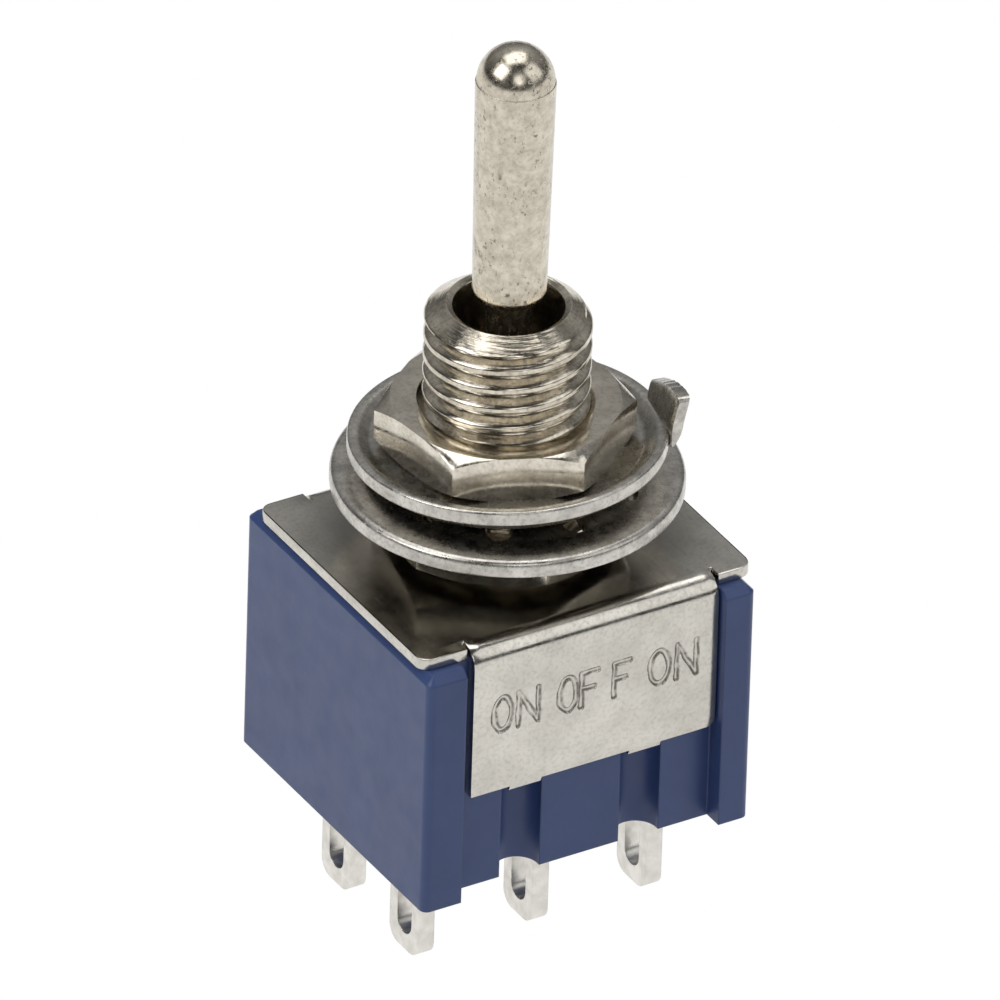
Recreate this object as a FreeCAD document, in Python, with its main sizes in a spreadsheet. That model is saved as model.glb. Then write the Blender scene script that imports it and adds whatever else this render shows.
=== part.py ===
"""Sub-miniature panel toggle switch, two poles, three lever positions.

Millimetres. The origin is on the bushing's axis, at the top face of the cover plate.
X runs along a row of three terminals and is the way the lever is thrown, the front
skirt of the cover faces -Y, and +Z points up along the lever.
"""
import FreeCAD, Part
import math
import os

import Sketcher

# Driving dimensions, in millimetres and degrees
DIMENSIONS = [
    # moulded case
    ("case_length", "13.4", "case along X"),
    ("case_width", "12.9", "case along Y, over the corner posts"),
    ("case_height", "9.75", "case below the cover plate"),
    ("case_corner_radius", "0.3", "vertical corners of the case"),
    ("case_top_chamfer", "0.28", "bevel round the top edge of the case"),
    ("end_wall", "0.95", "wall at each end of the hollow, along X"),
    ("side_wall", "0.7", "wall left behind the side grooves, along Y"),
    ("floor_thickness", "1.45", "floor of the case, which holds the terminals"),
    ("channel_width", "10.6", "recess between the corner posts, where the skirt hangs"),
    ("channel_shift", "0.15", "the recess sits this far towards +X"),
    ("channel_depth", "0.8", "depth of that recess below the posts"),
    ("groove_width", "1.65", "upright groove between two terminals"),
    ("groove_depth", "0.95", "depth of the groove below the recess"),
    ("groove_spacing", "4.9", "from one groove to the other"),
    ("barrier_thickness", "0.8", "rib on the floor between the two poles"),
    ("barrier_height", "1.0", "height of that rib"),
    # folded cover
    ("sheet_thickness", "0.45", "sheet metal of the cover"),
    ("cover_overhang", "0.1", "flat top longer than the case, by this much at each end"),
    ("flat_shift", "0.15", "the flat top sits this far towards +X"),
    ("cover_corner_radius", "0.5", "corners of the flat top"),
    ("cover_flat_inset", "0.2", "flat top inside the skirts, at its two ends"),
    ("fold_radius", "0.5", "outside radius of the folds"),
    ("relief_width", "0.12", "slot at each end of a fold"),
    ("relief_margin", "0.05", "how far that slot goes in past the start of the fold"),
    ("skirt_width", "10.05", "folded skirt along X"),
    ("skirt_shift", "0.36", "the skirts sit this far towards +X"),
    ("skirt_drop", "6.15", "skirt's lower edge below the top face"),
    ("skirt_corner_radius", "0.35", "lower corners of the skirt"),
    ("tongue_width", "1.3", "crimped tongue over each groove"),
    ("tongue_length", "0.3", "how far a tongue goes below the skirt"),
    ("tongue_bend", "0.25", "how far a tongue is pressed into its groove"),
    # bushing
    ("thread_diameter", "6.0", "outside of the bushing's thread"),
    ("thread_engaged_diameter", "5.52", "pitch line, the bushing up to the top of the upper nut"),
    ("bushing_height", "9.8", "bushing above the cover plate"),
    ("thread_root_diameter", "5.2", "bottom of the grooves that stand for the bare thread"),
    ("bushing_bevel_height", "0.5", "bevel at the top of the thread"),
    ("bushing_rim_diameter", "4.3", "outside of the rim at the top"),
    ("bushing_rim_width", "0.1", "flat left on that rim"),
    ("mouth_diameter", "4.0", "bore just inside the rim"),
    ("mouth_bevel_height", "0.05", "bevel inside the rim"),
    ("throat_diameter", "3.02", "narrowest place, where the ball seats from below"),
    ("bushing_foot_bore", "4.5", "bore at the foot, room for the swinging spindle"),
    ("flange_gap", "0.2", "between the flange and the side walls of the hollow"),
    ("flange_thickness", "0.8", "thickness of that flange"),
    # lever
    ("pivot_height", "5.0", "lever's pivot above the cover plate"),
    ("lever_throw", "12.0", "angle from the middle to either side"),
    ("ball_diameter", "3.9", "ball that the lever turns on"),
    ("neck_diameter", "1.6", "neck above the ball"),
    ("shoulder_height", "10.05", "lower end of the thick part of the lever"),
    ("shoulder_round", "0.45", "round at that end"),
    ("lever_root_diameter", "2.65", "thick part, at the bottom"),
    ("lever_tip_diameter", "2.88", "thick part, at the top"),
    ("lever_height", "20.4", "top of the lever above the cover plate"),
    ("dome_diameter", "2.8", "ball-shaped end of the lever"),
    ("spindle_diameter", "1.5", "spindle below the ball"),
    ("spindle_engagement", "2.5", "length of spindle pressed in the actuator"),
    # actuator and plungers
    ("actuator_top_depth", "2.1", "top of the actuator below the cover's top face"),
    ("actuator_height", "3.3", "height of the actuator"),
    ("actuator_length", "4.6", "actuator along X"),
    ("actuator_margin", "1.1", "actuator beyond the middle of a plunger, along Y"),
    ("actuator_corner_radius", "0.5", "upright corners of the actuator"),
    ("spring_chamber_roof", "0.6", "solid left above each plunger bore"),
    ("plunger_diameter", "1.8", "plunger"),
    ("plunger_bore_diameter", "1.3", "hollow of the plunger, for the spring"),
    ("plunger_guide_length", "1.2", "length of plunger in its bore at rest"),
    ("plunger_end_wall", "0.35", "metal at the bottom of the hollow, above the round"),
    ("spring_diameter", "1.1", "outside of a spring"),
    ("spring_wire_diameter", "0.18", "wire of a spring"),
    ("spring_turns", "6", "turns of a spring"),
    # terminals
    ("lug_thickness", "0.65", "lug along X"),
    ("lug_width", "2.0", "lug along Y"),
    ("lug_length", "4.3", "lug below the case"),
    ("lug_corner_radius", "0.6", "lower corners of a lug"),
    ("eyelet_width", "1.0", "slot through a lug"),
    ("eyelet_length", "1.9", "slot through a lug, end to end"),
    ("eyelet_drop", "2.7", "middle of the slot below the case"),
    ("pad_length", "1.9", "head of an end terminal along X"),
    ("pad_thickness", "0.5", "head of an end terminal"),
    ("pad_end_gap", "0.1", "between that head and the end wall"),
    ("fork_margin", "0.2", "head of a middle terminal outside the rocker, along Y"),
    ("fork_gap", "1.6", "gap between the ears of a middle terminal"),
    ("fork_ear_height", "1.85", "ears above the floor"),
    ("fulcrum_height", "1.15", "top of the fulcrum above the floor"),
    # rockers and contacts
    ("rocker_thickness", "0.4", "strip that the rocker is made of"),
    ("rocker_tail", "0.6", "rocker beyond the middle of its contact"),
    ("rocker_inner_gap", "0.8", "between a rocker and the rib, along Y"),
    ("rocker_outer_gap", "0.4", "between a rocker and the side wall"),
    ("rocker_neck_width", "1.5", "rocker between the ears"),
    ("rocker_neck_length", "1.2", "length of that neck"),
    ("rocker_trough_length", "6.0", "curved middle of the rocker"),
    ("rocker_tilt", "4.0", "angle from level to either side"),
    ("contact_diameter", "1.5", "silver contact"),
    ("contact_crown_diameter", "0.9", "flat on top of a contact"),
    ("contact_crown_height", "0.15", "bevel of a contact"),
    ("moving_contact_height", "0.62", "contact below the rocker's arm"),
    ("contact_gap", "0.4", "between the contacts, rocker level"),
    # nuts and washers
    ("nut_across_flats", "8.1", "both hexagon nuts"),
    ("nut_thickness", "1.77", "both hexagon nuts"),
    ("nut_bevel_angle", "30.0", "bevel on the corners of a nut"),
    ("nut_bevel_margin", "0.06", "bevel circle outside the flats"),
    ("nut_mouth_diameter", "6.35", "countersunk mouth of a nut"),
    ("lower_nut_height", "0.5", "lower nut above the cover plate"),
    ("lower_nut_turn", "19.0", "how the lower nut is turned"),
    ("upper_nut_turn", "36.0", "how the upper nut is turned"),
    ("lock_washer_diameter", "12.66", "toothed lock washer"),
    ("lock_washer_thickness", "0.68", "toothed lock washer"),
    ("lock_tooth_root_diameter", "9.9", "circle where the teeth begin"),
    ("lock_tooth_bore", "6.3", "circle of the tooth tips"),
    ("lock_tooth_rise", "0.45", "tooth tips above the ring"),
    ("lock_tooth_gap", "0.95", "slot between two teeth"),
    ("lock_tooth_count", "10", "number of teeth"),
    ("lock_tooth_thickness", "0.5", "tooth at its tip"),
    ("lock_rim_round", "0.2", "rounded rim of the lock washer"),
    ("lock_washer_turn", "19.5", "how the lock washer is turned"),
    ("locating_washer_diameter", "11.48", "dished locating washer"),
    ("locating_washer_thickness", "0.65", "dished locating washer"),
    ("locating_washer_bore", "6.2", "dished locating washer"),
    ("dish_floor_diameter", "9.85", "flat middle of the dish, seen from above"),
    ("dish_rim_bore", "10.6", "inside of the flat rim, seen from above"),
    ("dish_wall_offset", "0.25", "underside of the dish wall further out"),
    ("dish_depth", "0.42", "rim above the middle of the dish"),
    ("tab_width", "2.78", "tab that keys the switch in its panel"),
    ("tab_thickness", "0.5", "tab, thinned by the bend"),
    ("tab_height", "1.63", "tab above the rim, near its front corner"),
    ("tab_front_height", "1.51", "tab above the rim, at its front edge"),
    ("tab_middle_height", "1.47", "tab above the rim, in the middle"),
    ("tab_rear_height", "0.89", "tab above the rim, at its rear edge"),
    ("tab_angle", "78.0", "how far the tab is bent up"),
    ("tab_turn", "-13.0", "way the tab faces, seen from above"),
    ("tab_shift", "0.76", "tab towards the front of that line"),
    ("tab_foot_inset", "0.4", "tab's inner face inside the edge of the washer"),
    ("tab_bend_bevel", "0.25", "outside of the tab's bend"),
    # clearances
    ("socket_clearance", "0.05", "round the lever's ball"),
    ("bushing_clearance", "0.02", "round the bushing in the cover"),
    ("plunger_clearance", "0.05", "round a plunger in its bore"),
    ("spindle_clearance", "0.01", "round the spindle in the actuator"),
    ("terminal_clearance", "0.02", "round a terminal in the floor"),
    ("thread_clearance", "0.02", "round the thread in a nut"),
    ("fulcrum_clearance", "0.05", "between fulcrum and rocker"),
    ("tip_clearance", "0.08", "between plunger tip and rocker"),
    ("spring_end_clearance", "0.05", "at each end of a spring"),
]

MIDDLE = 0.0
FULL_TURN = 360.0

# Grooves of the bare thread: their number, and their sizes in shares of their spacing
THREAD_GROOVES = 4
LAST_LAND = 0.4
GROOVE_MOUTH = 0.76
GROOVE_FLOOR = 0.2


class Size:
    """A number that remembers the sheet formula it comes from."""

    def __init__(self, value, formula):
        self.value = value
        self.formula = formula

    def __add__(self, other):
        other = sized(other)
        return Size(self.value + other.value, f"({self.formula} + {other.formula})")

    def __sub__(self, other):
        other = sized(other)
        return Size(self.value - other.value, f"({self.formula} - {other.formula})")

    def __mul__(self, other):
        other = sized(other)
        return Size(self.value * other.value, f"({self.formula} * {other.formula})")

    def __truediv__(self, other):
        other = sized(other)
        return Size(self.value / other.value, f"({self.formula} / {other.formula})")

    def __neg__(self):
        return Size(-self.value, f"(-1 * {self.formula})")


ONE_DEGREE = Size(1.0, "1 deg")


def sized(number):
    """Any plain number as a Size."""
    return number if isinstance(number, Size) else Size(float(number), repr(float(number)))


def root(size):
    return Size(math.sqrt(size.value), f"sqrt({size.formula})")


def sine(angle):
    return Size(math.sin(math.radians(angle.value)), f"sin({angle.formula} * 1 deg)")


def cosine(angle):
    return Size(math.cos(math.radians(angle.value)), f"cos({angle.formula} * 1 deg)")


def tangent(angle):
    return sine(angle) / cosine(angle)


class Dimensions:
    """The driving dimensions, and what follows from them for more than one piece."""

    def __init__(self, sheet):
        sheet.set("A1", "name")
        sheet.set("B1", "value")
        sheet.set("C1", "meaning")
        for row, (alias, text, meaning) in enumerate(DIMENSIONS, start=2):
            sheet.set(f"A{row}", alias)
            sheet.set(f"B{row}", text)
            sheet.set(f"C{row}", meaning)
            sheet.setAlias(f"B{row}", alias)
            setattr(self, alias, Size(float(text), f"Sizes.{alias}"))
        self.case_top = -self.sheet_thickness
        self.case_bottom = self.case_top - self.case_height
        self.floor_top = self.case_bottom + self.floor_thickness
        self.half_length = self.case_length / 2
        self.half_width = self.case_width / 2
        self.land_y = self.half_width - self.channel_depth
        self.groove_y = self.land_y - self.groove_depth
        self.cavity_half_length = self.half_length - self.end_wall
        self.cavity_half_width = self.groove_y - self.side_wall
        self.thread_radius = self.thread_diameter / 2
        self.engaged_radius = self.thread_engaged_diameter / 2
        self.nut_bore_radius = self.engaged_radius + self.thread_clearance
        self.lower_nut_top = self.lower_nut_height + self.nut_thickness
        self.lock_ring_top = self.lower_nut_top + self.lock_washer_thickness
        self.dish_bottom = self.lock_ring_top + self.lock_tooth_rise
        self.dish_top = self.dish_bottom + self.locating_washer_thickness
        self.upper_nut_top = self.dish_top + self.nut_thickness
        self.ball_radius = self.ball_diameter / 2
        self.socket_radius = self.ball_radius + self.socket_clearance
        self.spindle_radius = self.spindle_diameter / 2
        self.actuator_top = -self.actuator_top_depth
        self.actuator_bottom = self.actuator_top - self.actuator_height
        self.spindle_bottom = self.actuator_top - self.spindle_engagement
        self.chamber_top = self.actuator_top - self.spring_chamber_roof
        self.rocker_width = (
            self.cavity_half_width - self.barrier_thickness / 2
            - self.rocker_inner_gap - self.rocker_outer_gap
        )
        self.row_y = self.barrier_thickness / 2 + self.rocker_inner_gap + self.rocker_width / 2
        self.terminal_pitch = self.cavity_half_length - self.pad_end_gap - self.pad_length / 2
        self.rocker_length = (self.terminal_pitch + self.rocker_tail) * 2
        self.fork_width = self.rocker_width + self.fork_margin * 2
        self.actuator_width = (self.row_y + self.actuator_margin) * 2
        self.flange_diameter = (self.cavity_half_width - self.flange_gap) * 2
        self.fulcrum_radius = self.lug_thickness / 2
        self.fulcrum_top = self.floor_top + self.fulcrum_height
        self.rocker_axis_z = self.fulcrum_top - self.fulcrum_radius
        self.rocker_bottom = self.fulcrum_top + self.fulcrum_clearance
        self.rocker_top = self.rocker_bottom + self.rocker_thickness
        self.plunger_radius = self.plunger_diameter / 2
        self.tip_centre_z = self.rocker_top + self.tip_clearance + self.plunger_radius
        self.plunger_top = self.actuator_bottom + self.plunger_guide_length
        self.spring_seat_z = self.tip_centre_z + self.plunger_end_wall
        self.trough_radius = self.path_radius() + self.plunger_radius + self.tip_clearance
        self.trough_half = self.rocker_trough_length / 2
        self.trough_rise = self.trough_radius - root(
            self.trough_radius * self.trough_radius - self.trough_half * self.trough_half
        )
        self.arm_bottom = self.rocker_bottom + self.trough_rise
        self.moving_contact_bottom = self.arm_bottom - self.moving_contact_height
        self.fixed_contact_top = self.moving_contact_bottom - self.contact_gap
        self.pad_top = self.floor_top + self.pad_thickness

    def path_radius(self):
        """Radius of the tip's path over the rocker: through the middle and both throws."""
        swing = self.pivot_height - self.tip_centre_z
        along = swing * sine(self.lever_throw)
        height = self.pivot_height - swing * cosine(self.lever_throw) - self.rocker_axis_z
        rest_height = self.tip_centre_z - self.rocker_axis_z
        moved_x = along * cosine(self.rocker_tilt) - height * sine(self.rocker_tilt)
        moved_z = along * sine(self.rocker_tilt) + height * cosine(self.rocker_tilt)
        rise = moved_z - rest_height
        return (moved_x * moved_x + rise * rise) / (rise * 2)


def bind(thing, **formulas):
    """Sets properties of an object to formulas of the sheet."""
    for path, size in formulas.items():
        thing.setExpression(path.replace("__", "."), sized(size).formula)


def new_body(doc, label):
    body = doc.addObject("PartDesign::Body", label)
    body.Label = label
    return body


def new_sketch(body, role, name, offset=None):
    """A sketch on one of the body's own origin planes, moved along its normal."""
    sketch = body.newObject("Sketcher::SketchObject", name)
    plane = next(p for p in body.Origin.OriginFeatures if p.Role == role)
    sketch.AttachmentSupport = (plane, [""])
    sketch.MapMode = "FlatFace"
    if offset is not None:
        sketch.setExpression(".AttachmentOffset.Base.z", offset.formula)
    return sketch


def pin_coordinate(sketch, edge, end, axis, size):
    """Fixes one coordinate of an edge's end, or of its centre, at a sheet-driven size."""
    size = sized(size)
    if size.value == 0.0 and size.formula == "0.0":
        line = -2 if axis == "x" else -1
        sketch.addConstraint(Sketcher.Constraint("PointOnObject", edge, end, line))
        return
    kind = "DistanceX" if axis == "x" else "DistanceY"
    index = sketch.addConstraint(Sketcher.Constraint(kind, -1, 1, edge, end, size.value))
    sketch.setExpression(f"Constraints[{index}]", size.formula)


def add_outline(sketch, corners, arcs=None):
    """A closed outline through sheet-driven corners.

    A side listed in arcs is an arc about a centre: its place, which of the centre's
    coordinates is fixed, and +1 for an arc that turns to the left or -1 to the right.
    """
    arcs = arcs or {}
    vectors = [FreeCAD.Vector(sized(x).value, sized(y).value, 0) for x, y in corners]
    count = len(corners)
    sides = []
    for i in range(count):
        start, end = vectors[i], vectors[(i + 1) % count]
        if i not in arcs:
            edge = sketch.addGeometry(Part.LineSegment(start, end), False)
            sides.append((edge, 1, 2))
            continue
        centre_x, centre_y, fixed, turn = arcs[i]
        centre = FreeCAD.Vector(sized(centre_x).value, sized(centre_y).value, 0)
        first, second = (start, end) if turn > 0 else (end, start)
        circle = Part.Circle(centre, FreeCAD.Vector(0, 0, 1), (start - centre).Length)
        first_angle = math.atan2(first.y - centre.y, first.x - centre.x)
        second_angle = math.atan2(second.y - centre.y, second.x - centre.x)
        if second_angle <= first_angle:
            second_angle += 2 * math.pi
        edge = sketch.addGeometry(Part.ArcOfCircle(circle, first_angle, second_angle), False)
        sides.append((edge, 1, 2) if turn > 0 else (edge, 2, 1))
        pin_coordinate(sketch, edge, 3, fixed, centre_x if fixed == "x" else centre_y)
    for i, (edge, _, end) in enumerate(sides):
        next_edge, next_start, _ = sides[(i + 1) % count]
        sketch.addConstraint(Sketcher.Constraint("Coincident", edge, end, next_edge, next_start))
    for (edge, start, _), (x, y) in zip(sides, corners):
        pin_coordinate(sketch, edge, start, "x", x)
        pin_coordinate(sketch, edge, start, "y", y)


def add_rectangle(sketch, x_middle, y_middle, x_size, y_size):
    x_middle, y_middle = sized(x_middle), sized(y_middle)
    x_low, x_high = x_middle - x_size / 2, x_middle + x_size / 2
    y_low, y_high = y_middle - y_size / 2, y_middle + y_size / 2
    add_outline(sketch, [(x_low, y_low), (x_high, y_low), (x_high, y_high), (x_low, y_high)])


def add_circle(sketch, x, y, radius):
    centre = FreeCAD.Vector(sized(x).value, sized(y).value, 0)
    edge = sketch.addGeometry(Part.Circle(centre, FreeCAD.Vector(0, 0, 1), radius.value), False)
    index = sketch.addConstraint(Sketcher.Constraint("Radius", edge, radius.value))
    sketch.setExpression(f"Constraints[{index}]", radius.formula)
    pin_coordinate(sketch, edge, 3, "x", x)
    pin_coordinate(sketch, edge, 3, "y", y)


def pad(body, sketch, name, length, midplane=False, reversed_way=False):
    feature = body.newObject("PartDesign::Pad", name)
    feature.Profile = sketch
    feature.Midplane = midplane
    feature.Reversed = reversed_way
    bind(feature, Length=length)
    return feature


def pocket(body, sketch, name, length, midplane=False, reversed_way=False):
    feature = body.newObject("PartDesign::Pocket", name)
    feature.Profile = sketch
    feature.Midplane = midplane
    feature.Reversed = reversed_way
    bind(feature, Length=length)
    return feature


def revolve(body, sketch, name, cut=False):
    """Turns a profile once round the sketch's upright axis."""
    feature = body.newObject("PartDesign::Groove" if cut else "PartDesign::Revolution", name)
    feature.Profile = sketch
    feature.ReferenceAxis = (sketch, ["V_Axis"])
    feature.Angle = FULL_TURN
    return feature


def edge_names(shape, wanted):
    """Names of the edges that a test picks, by both ends of each edge."""
    names = []
    for number, edge in enumerate(shape.Edges, start=1):
        ends = [edge.Vertexes[0].Point, edge.Vertexes[-1].Point]
        if wanted(edge, *ends):
            names.append(f"Edge{number}")
    return names


def near(first, second):
    return abs(first - second) < 1e-4


def dress(body, kind, name, base, size, wanted):
    """A fillet or chamfer on the edges of the last feature that the test picks."""
    body.Document.recompute()
    feature = body.newObject(f"PartDesign::{kind}", name)
    feature.Base = (base, edge_names(base.Shape, wanted))
    bind(feature, **{"Radius" if kind == "Fillet" else "Size": size})
    return feature


def finish_body(body):
    body.Document.recompute()
    return body


def make_housing(doc, d):
    """Moulded case: open at the top, with corner posts and upright side grooves."""
    body = new_body(doc, "housing")
    sketch = new_sketch(body, "XY_Plane", "case_outline", d.case_bottom)
    add_rectangle(sketch, MIDDLE, MIDDLE, d.case_length, d.case_width)
    block = pad(body, sketch, "case_block", d.case_height)

    def upright_corner(edge, start, end):
        return near(start.x, end.x) and near(abs(start.x), d.half_length.value) and near(start.y, end.y)

    dress(body, "Fillet", "case_corners", block, d.case_corner_radius, upright_corner)

    sketch = new_sketch(body, "XY_Plane", "channel_outline", d.case_bottom)
    for side in (-1, 1):
        y_middle = (d.half_width - d.channel_depth / 2) * side
        add_rectangle(sketch, d.channel_shift, y_middle, d.channel_width, d.channel_depth)
    pocket(body, sketch, "channels", d.case_height, reversed_way=True)

    round_radius = d.groove_width / 2
    straight = d.groove_depth - round_radius + d.channel_depth
    sketch = new_sketch(body, "XY_Plane", "groove_outline", d.case_bottom)
    for side in (-1, 1):
        for hand in (-1, 1):
            x_middle = d.channel_shift + d.groove_spacing / 2 * hand
            y_middle = (d.half_width - straight / 2) * side
            add_rectangle(sketch, x_middle, y_middle, d.groove_width, straight)
    pocket(body, sketch, "grooves", d.case_height, reversed_way=True)
    sketch = new_sketch(body, "XY_Plane", "groove_bottom_outline", d.case_bottom)
    for side in (-1, 1):
        for hand in (-1, 1):
            x_middle = d.channel_shift + d.groove_spacing / 2 * hand
            add_circle(sketch, x_middle, (d.groove_y + round_radius) * side, round_radius)
    rounded = pocket(body, sketch, "groove_bottoms", d.case_height, reversed_way=True)

    def top_rim(edge, start, end):
        level = near(start.z, d.case_top.value) and near(end.z, d.case_top.value)
        return level and max(abs(start.y), abs(end.y)) < d.half_width.value + 0.01 and (
            min(abs(start.x), abs(end.x)) > d.half_length.value - d.case_corner_radius.value - 0.01
            or min(abs(start.y), abs(end.y)) > d.half_width.value - 0.01
        )

    dress(body, "Chamfer", "case_top_bevel", rounded, d.case_top_chamfer, top_rim)

    sketch = new_sketch(body, "XY_Plane", "hollow_outline", d.floor_top)
    add_rectangle(sketch, MIDDLE, MIDDLE, d.cavity_half_length * 2, d.cavity_half_width * 2)
    pocket(body, sketch, "hollow", d.case_height, reversed_way=True)

    sketch = new_sketch(body, "XY_Plane", "barrier_outline", d.floor_top)
    add_rectangle(sketch, MIDDLE, MIDDLE, d.cavity_half_length * 2, d.barrier_thickness)
    pad(body, sketch, "barrier", d.barrier_height)

    sketch = new_sketch(body, "XY_Plane", "terminal_slots_outline", d.case_bottom)
    for side in (-1, 1):
        for place in (-1, 0, 1):
            add_rectangle(
                sketch,
                d.terminal_pitch * place if place else MIDDLE,
                d.row_y * side,
                d.lug_thickness + d.terminal_clearance * 2,
                d.lug_width + d.terminal_clearance * 2,
            )
    pocket(body, sketch, "terminal_slots", d.floor_thickness, reversed_way=True)
    return finish_body(body)


def make_cover(doc, d):
    """Folded sheet cover: flat top, a skirt front and back, crimped tongues."""
    body = new_body(doc, "cover_plate")
    half_x = d.half_length + d.cover_overhang
    skirt_y = d.land_y + d.sheet_thickness
    half_y = skirt_y - d.cover_flat_inset
    sketch = new_sketch(body, "XY_Plane", "flat_outline", d.case_top)
    add_rectangle(sketch, d.flat_shift, MIDDLE, half_x * 2, half_y * 2)
    flat = pad(body, sketch, "flat_top", d.sheet_thickness)

    def flat_corner(edge, start, end):
        return near(start.x, end.x) and near(start.y, end.y)

    dress(body, "Fillet", "flat_corners", flat, d.cover_corner_radius, flat_corner)

    sketch = new_sketch(body, "XY_Plane", "fold_outline", d.case_top)
    add_rectangle(sketch, d.skirt_shift, MIDDLE, d.skirt_width, skirt_y * 2)
    pad(body, sketch, "fold_strip", d.sheet_thickness)

    sketch = new_sketch(body, "XY_Plane", "relief_outline", d.case_top)
    relief_length = d.fold_radius + d.relief_margin
    for side in (-1, 1):
        for hand in (-1, 1):
            x_middle = d.skirt_shift + (d.skirt_width / 2 + d.relief_width / 2) * hand
            y_middle = (skirt_y - relief_length / 2) * side
            add_rectangle(sketch, x_middle, y_middle, d.relief_width, relief_length)
    pocket(body, sketch, "relief_slots", d.sheet_thickness, reversed_way=True)

    skirt_middle = d.land_y + d.sheet_thickness / 2
    skirt = None
    for name, offset in (("front", skirt_middle), ("rear", -skirt_middle)):
        sketch = new_sketch(body, "XZ_Plane", f"{name}_skirt_outline", offset)
        add_rectangle(sketch, d.skirt_shift, -d.skirt_drop / 2, d.skirt_width, d.skirt_drop)
        skirt = pad(body, sketch, f"{name}_skirt", d.sheet_thickness, midplane=True)

    def fold_edge(edge, start, end):
        level = near(start.z, 0.0) and near(end.z, 0.0)
        return level and near(abs(start.y), skirt_y.value) and near(start.y, end.y)

    folds = dress(body, "Fillet", "folds", skirt, d.fold_radius, fold_edge)

    def skirt_corner(edge, start, end):
        low = near(start.z, -d.skirt_drop.value) and near(end.z, -d.skirt_drop.value)
        return low and near(start.x, end.x)

    dress(body, "Fillet", "skirt_corners", folds, d.skirt_corner_radius, skirt_corner)

    tongue_bottom = -(d.skirt_drop + d.tongue_length)
    tongue_top = -(d.skirt_drop - d.tongue_length * 2)
    for name, hand in (("left", -1), ("right", 1)):
        x_middle = d.channel_shift + d.groove_spacing / 2 * hand
        sketch = new_sketch(body, "YZ_Plane", f"{name}_tongues_outline", x_middle)
        for side in (-1, 1):
            add_outline(sketch, [
                (skirt_y * side, tongue_top),
                ((skirt_y - d.tongue_bend) * side, tongue_bottom),
                ((d.land_y - d.tongue_bend) * side, tongue_bottom),
                (d.land_y * side, tongue_top),
            ])
        pad(body, sketch, f"{name}_tongues", d.tongue_width, midplane=True)

    sketch = new_sketch(body, "XY_Plane", "bushing_hole_outline", d.case_top)
    add_circle(sketch, MIDDLE, MIDDLE, d.thread_radius + d.bushing_clearance)
    pocket(body, sketch, "bushing_hole", d.sheet_thickness, reversed_way=True)
    return finish_body(body)


def thread_grooves(d):
    """Outline of the grooves that the thread shows above the upper nut."""
    bare_length = d.bushing_height - d.bushing_bevel_height - d.upper_nut_top
    pitch = bare_length / (THREAD_GROOVES + LAST_LAND)
    points = []
    for number in range(THREAD_GROOVES):
        middle = d.upper_nut_top + pitch * (number + 0.5)
        points += [
            (d.thread_radius, middle - pitch * GROOVE_MOUTH / 2),
            (d.thread_root_diameter / 2, middle - pitch * GROOVE_FLOOR / 2),
            (d.thread_root_diameter / 2, middle + pitch * GROOVE_FLOOR / 2),
            (d.thread_radius, middle + pitch * GROOVE_MOUTH / 2),
        ]
    return points


def make_bushing(doc, d):
    """Turned bushing: flange, threaded barrel, bore with the lever's ball socket.

    The bare barrel has round grooves in place of its helical thread. Below the top of
    the upper nut it is as thick as the pitch line, where a nut's thread meets it.
    """
    body = new_body(doc, "bushing")
    sketch = new_sketch(body, "XZ_Plane", "bushing_profile")
    foot_z = d.case_top - d.flange_thickness
    rim_radius = d.bushing_rim_diameter / 2
    throat_radius = d.throat_diameter / 2
    throat_z = d.pivot_height + root(
        d.socket_radius * d.socket_radius - throat_radius * throat_radius
    )
    profile = [
        (d.bushing_foot_bore / 2, foot_z),
        (d.flange_diameter / 2, foot_z),
        (d.flange_diameter / 2, d.case_top),
        (d.engaged_radius, d.case_top),
        (d.engaged_radius, d.upper_nut_top),
        (d.thread_radius, d.upper_nut_top),
        *thread_grooves(d),
        (d.thread_radius, d.bushing_height - d.bushing_bevel_height),
        (rim_radius, d.bushing_height),
        (rim_radius - d.bushing_rim_width, d.bushing_height),
        (d.mouth_diameter / 2, d.bushing_height - d.mouth_bevel_height),
        (throat_radius, throat_z),
        (d.socket_radius, d.pivot_height),
    ]
    add_outline(sketch, profile, arcs={len(profile) - 2: (MIDDLE, d.pivot_height, "y", -1)})
    revolve(body, sketch, "bushing_turning")
    return finish_body(body)


def make_lever(doc, d):
    """Bat lever with its ball and the spindle that reaches into the case."""
    body = new_body(doc, "lever")
    sketch = new_sketch(body, "XZ_Plane", "lever_profile")
    neck_radius = d.neck_diameter / 2
    root_radius = d.lever_root_diameter / 2
    tip_radius = d.lever_tip_diameter / 2
    dome_radius = d.dome_diameter / 2
    step = tip_radius - dome_radius
    dome_z = d.lever_height - dome_radius
    ball_square = d.ball_radius * d.ball_radius
    spindle_z = d.pivot_height - root(ball_square - d.spindle_radius * d.spindle_radius)
    neck_z = d.pivot_height + root(ball_square - neck_radius * neck_radius)
    profile = [
        (MIDDLE, d.spindle_bottom),
        (d.spindle_radius, d.spindle_bottom),
        (d.spindle_radius, spindle_z),
        (neck_radius, neck_z),
        (neck_radius, d.shoulder_height),
        (root_radius, d.shoulder_height),
        (tip_radius, dome_z - step),
        (dome_radius, dome_z),
        (MIDDLE, d.lever_height),
    ]
    arcs = {2: (MIDDLE, d.pivot_height, "y", 1), 7: (MIDDLE, dome_z, "y", 1)}
    add_outline(sketch, profile, arcs=arcs)
    turned = revolve(body, sketch, "lever_turning")

    def shoulder_edge(edge, start, end):
        across = math.hypot(start.x, start.y)
        return near(start.z, d.shoulder_height.value) and near(across, root_radius.value)

    dress(body, "Fillet", "shoulder", turned, d.shoulder_round, shoulder_edge)
    return finish_body(body)


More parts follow.
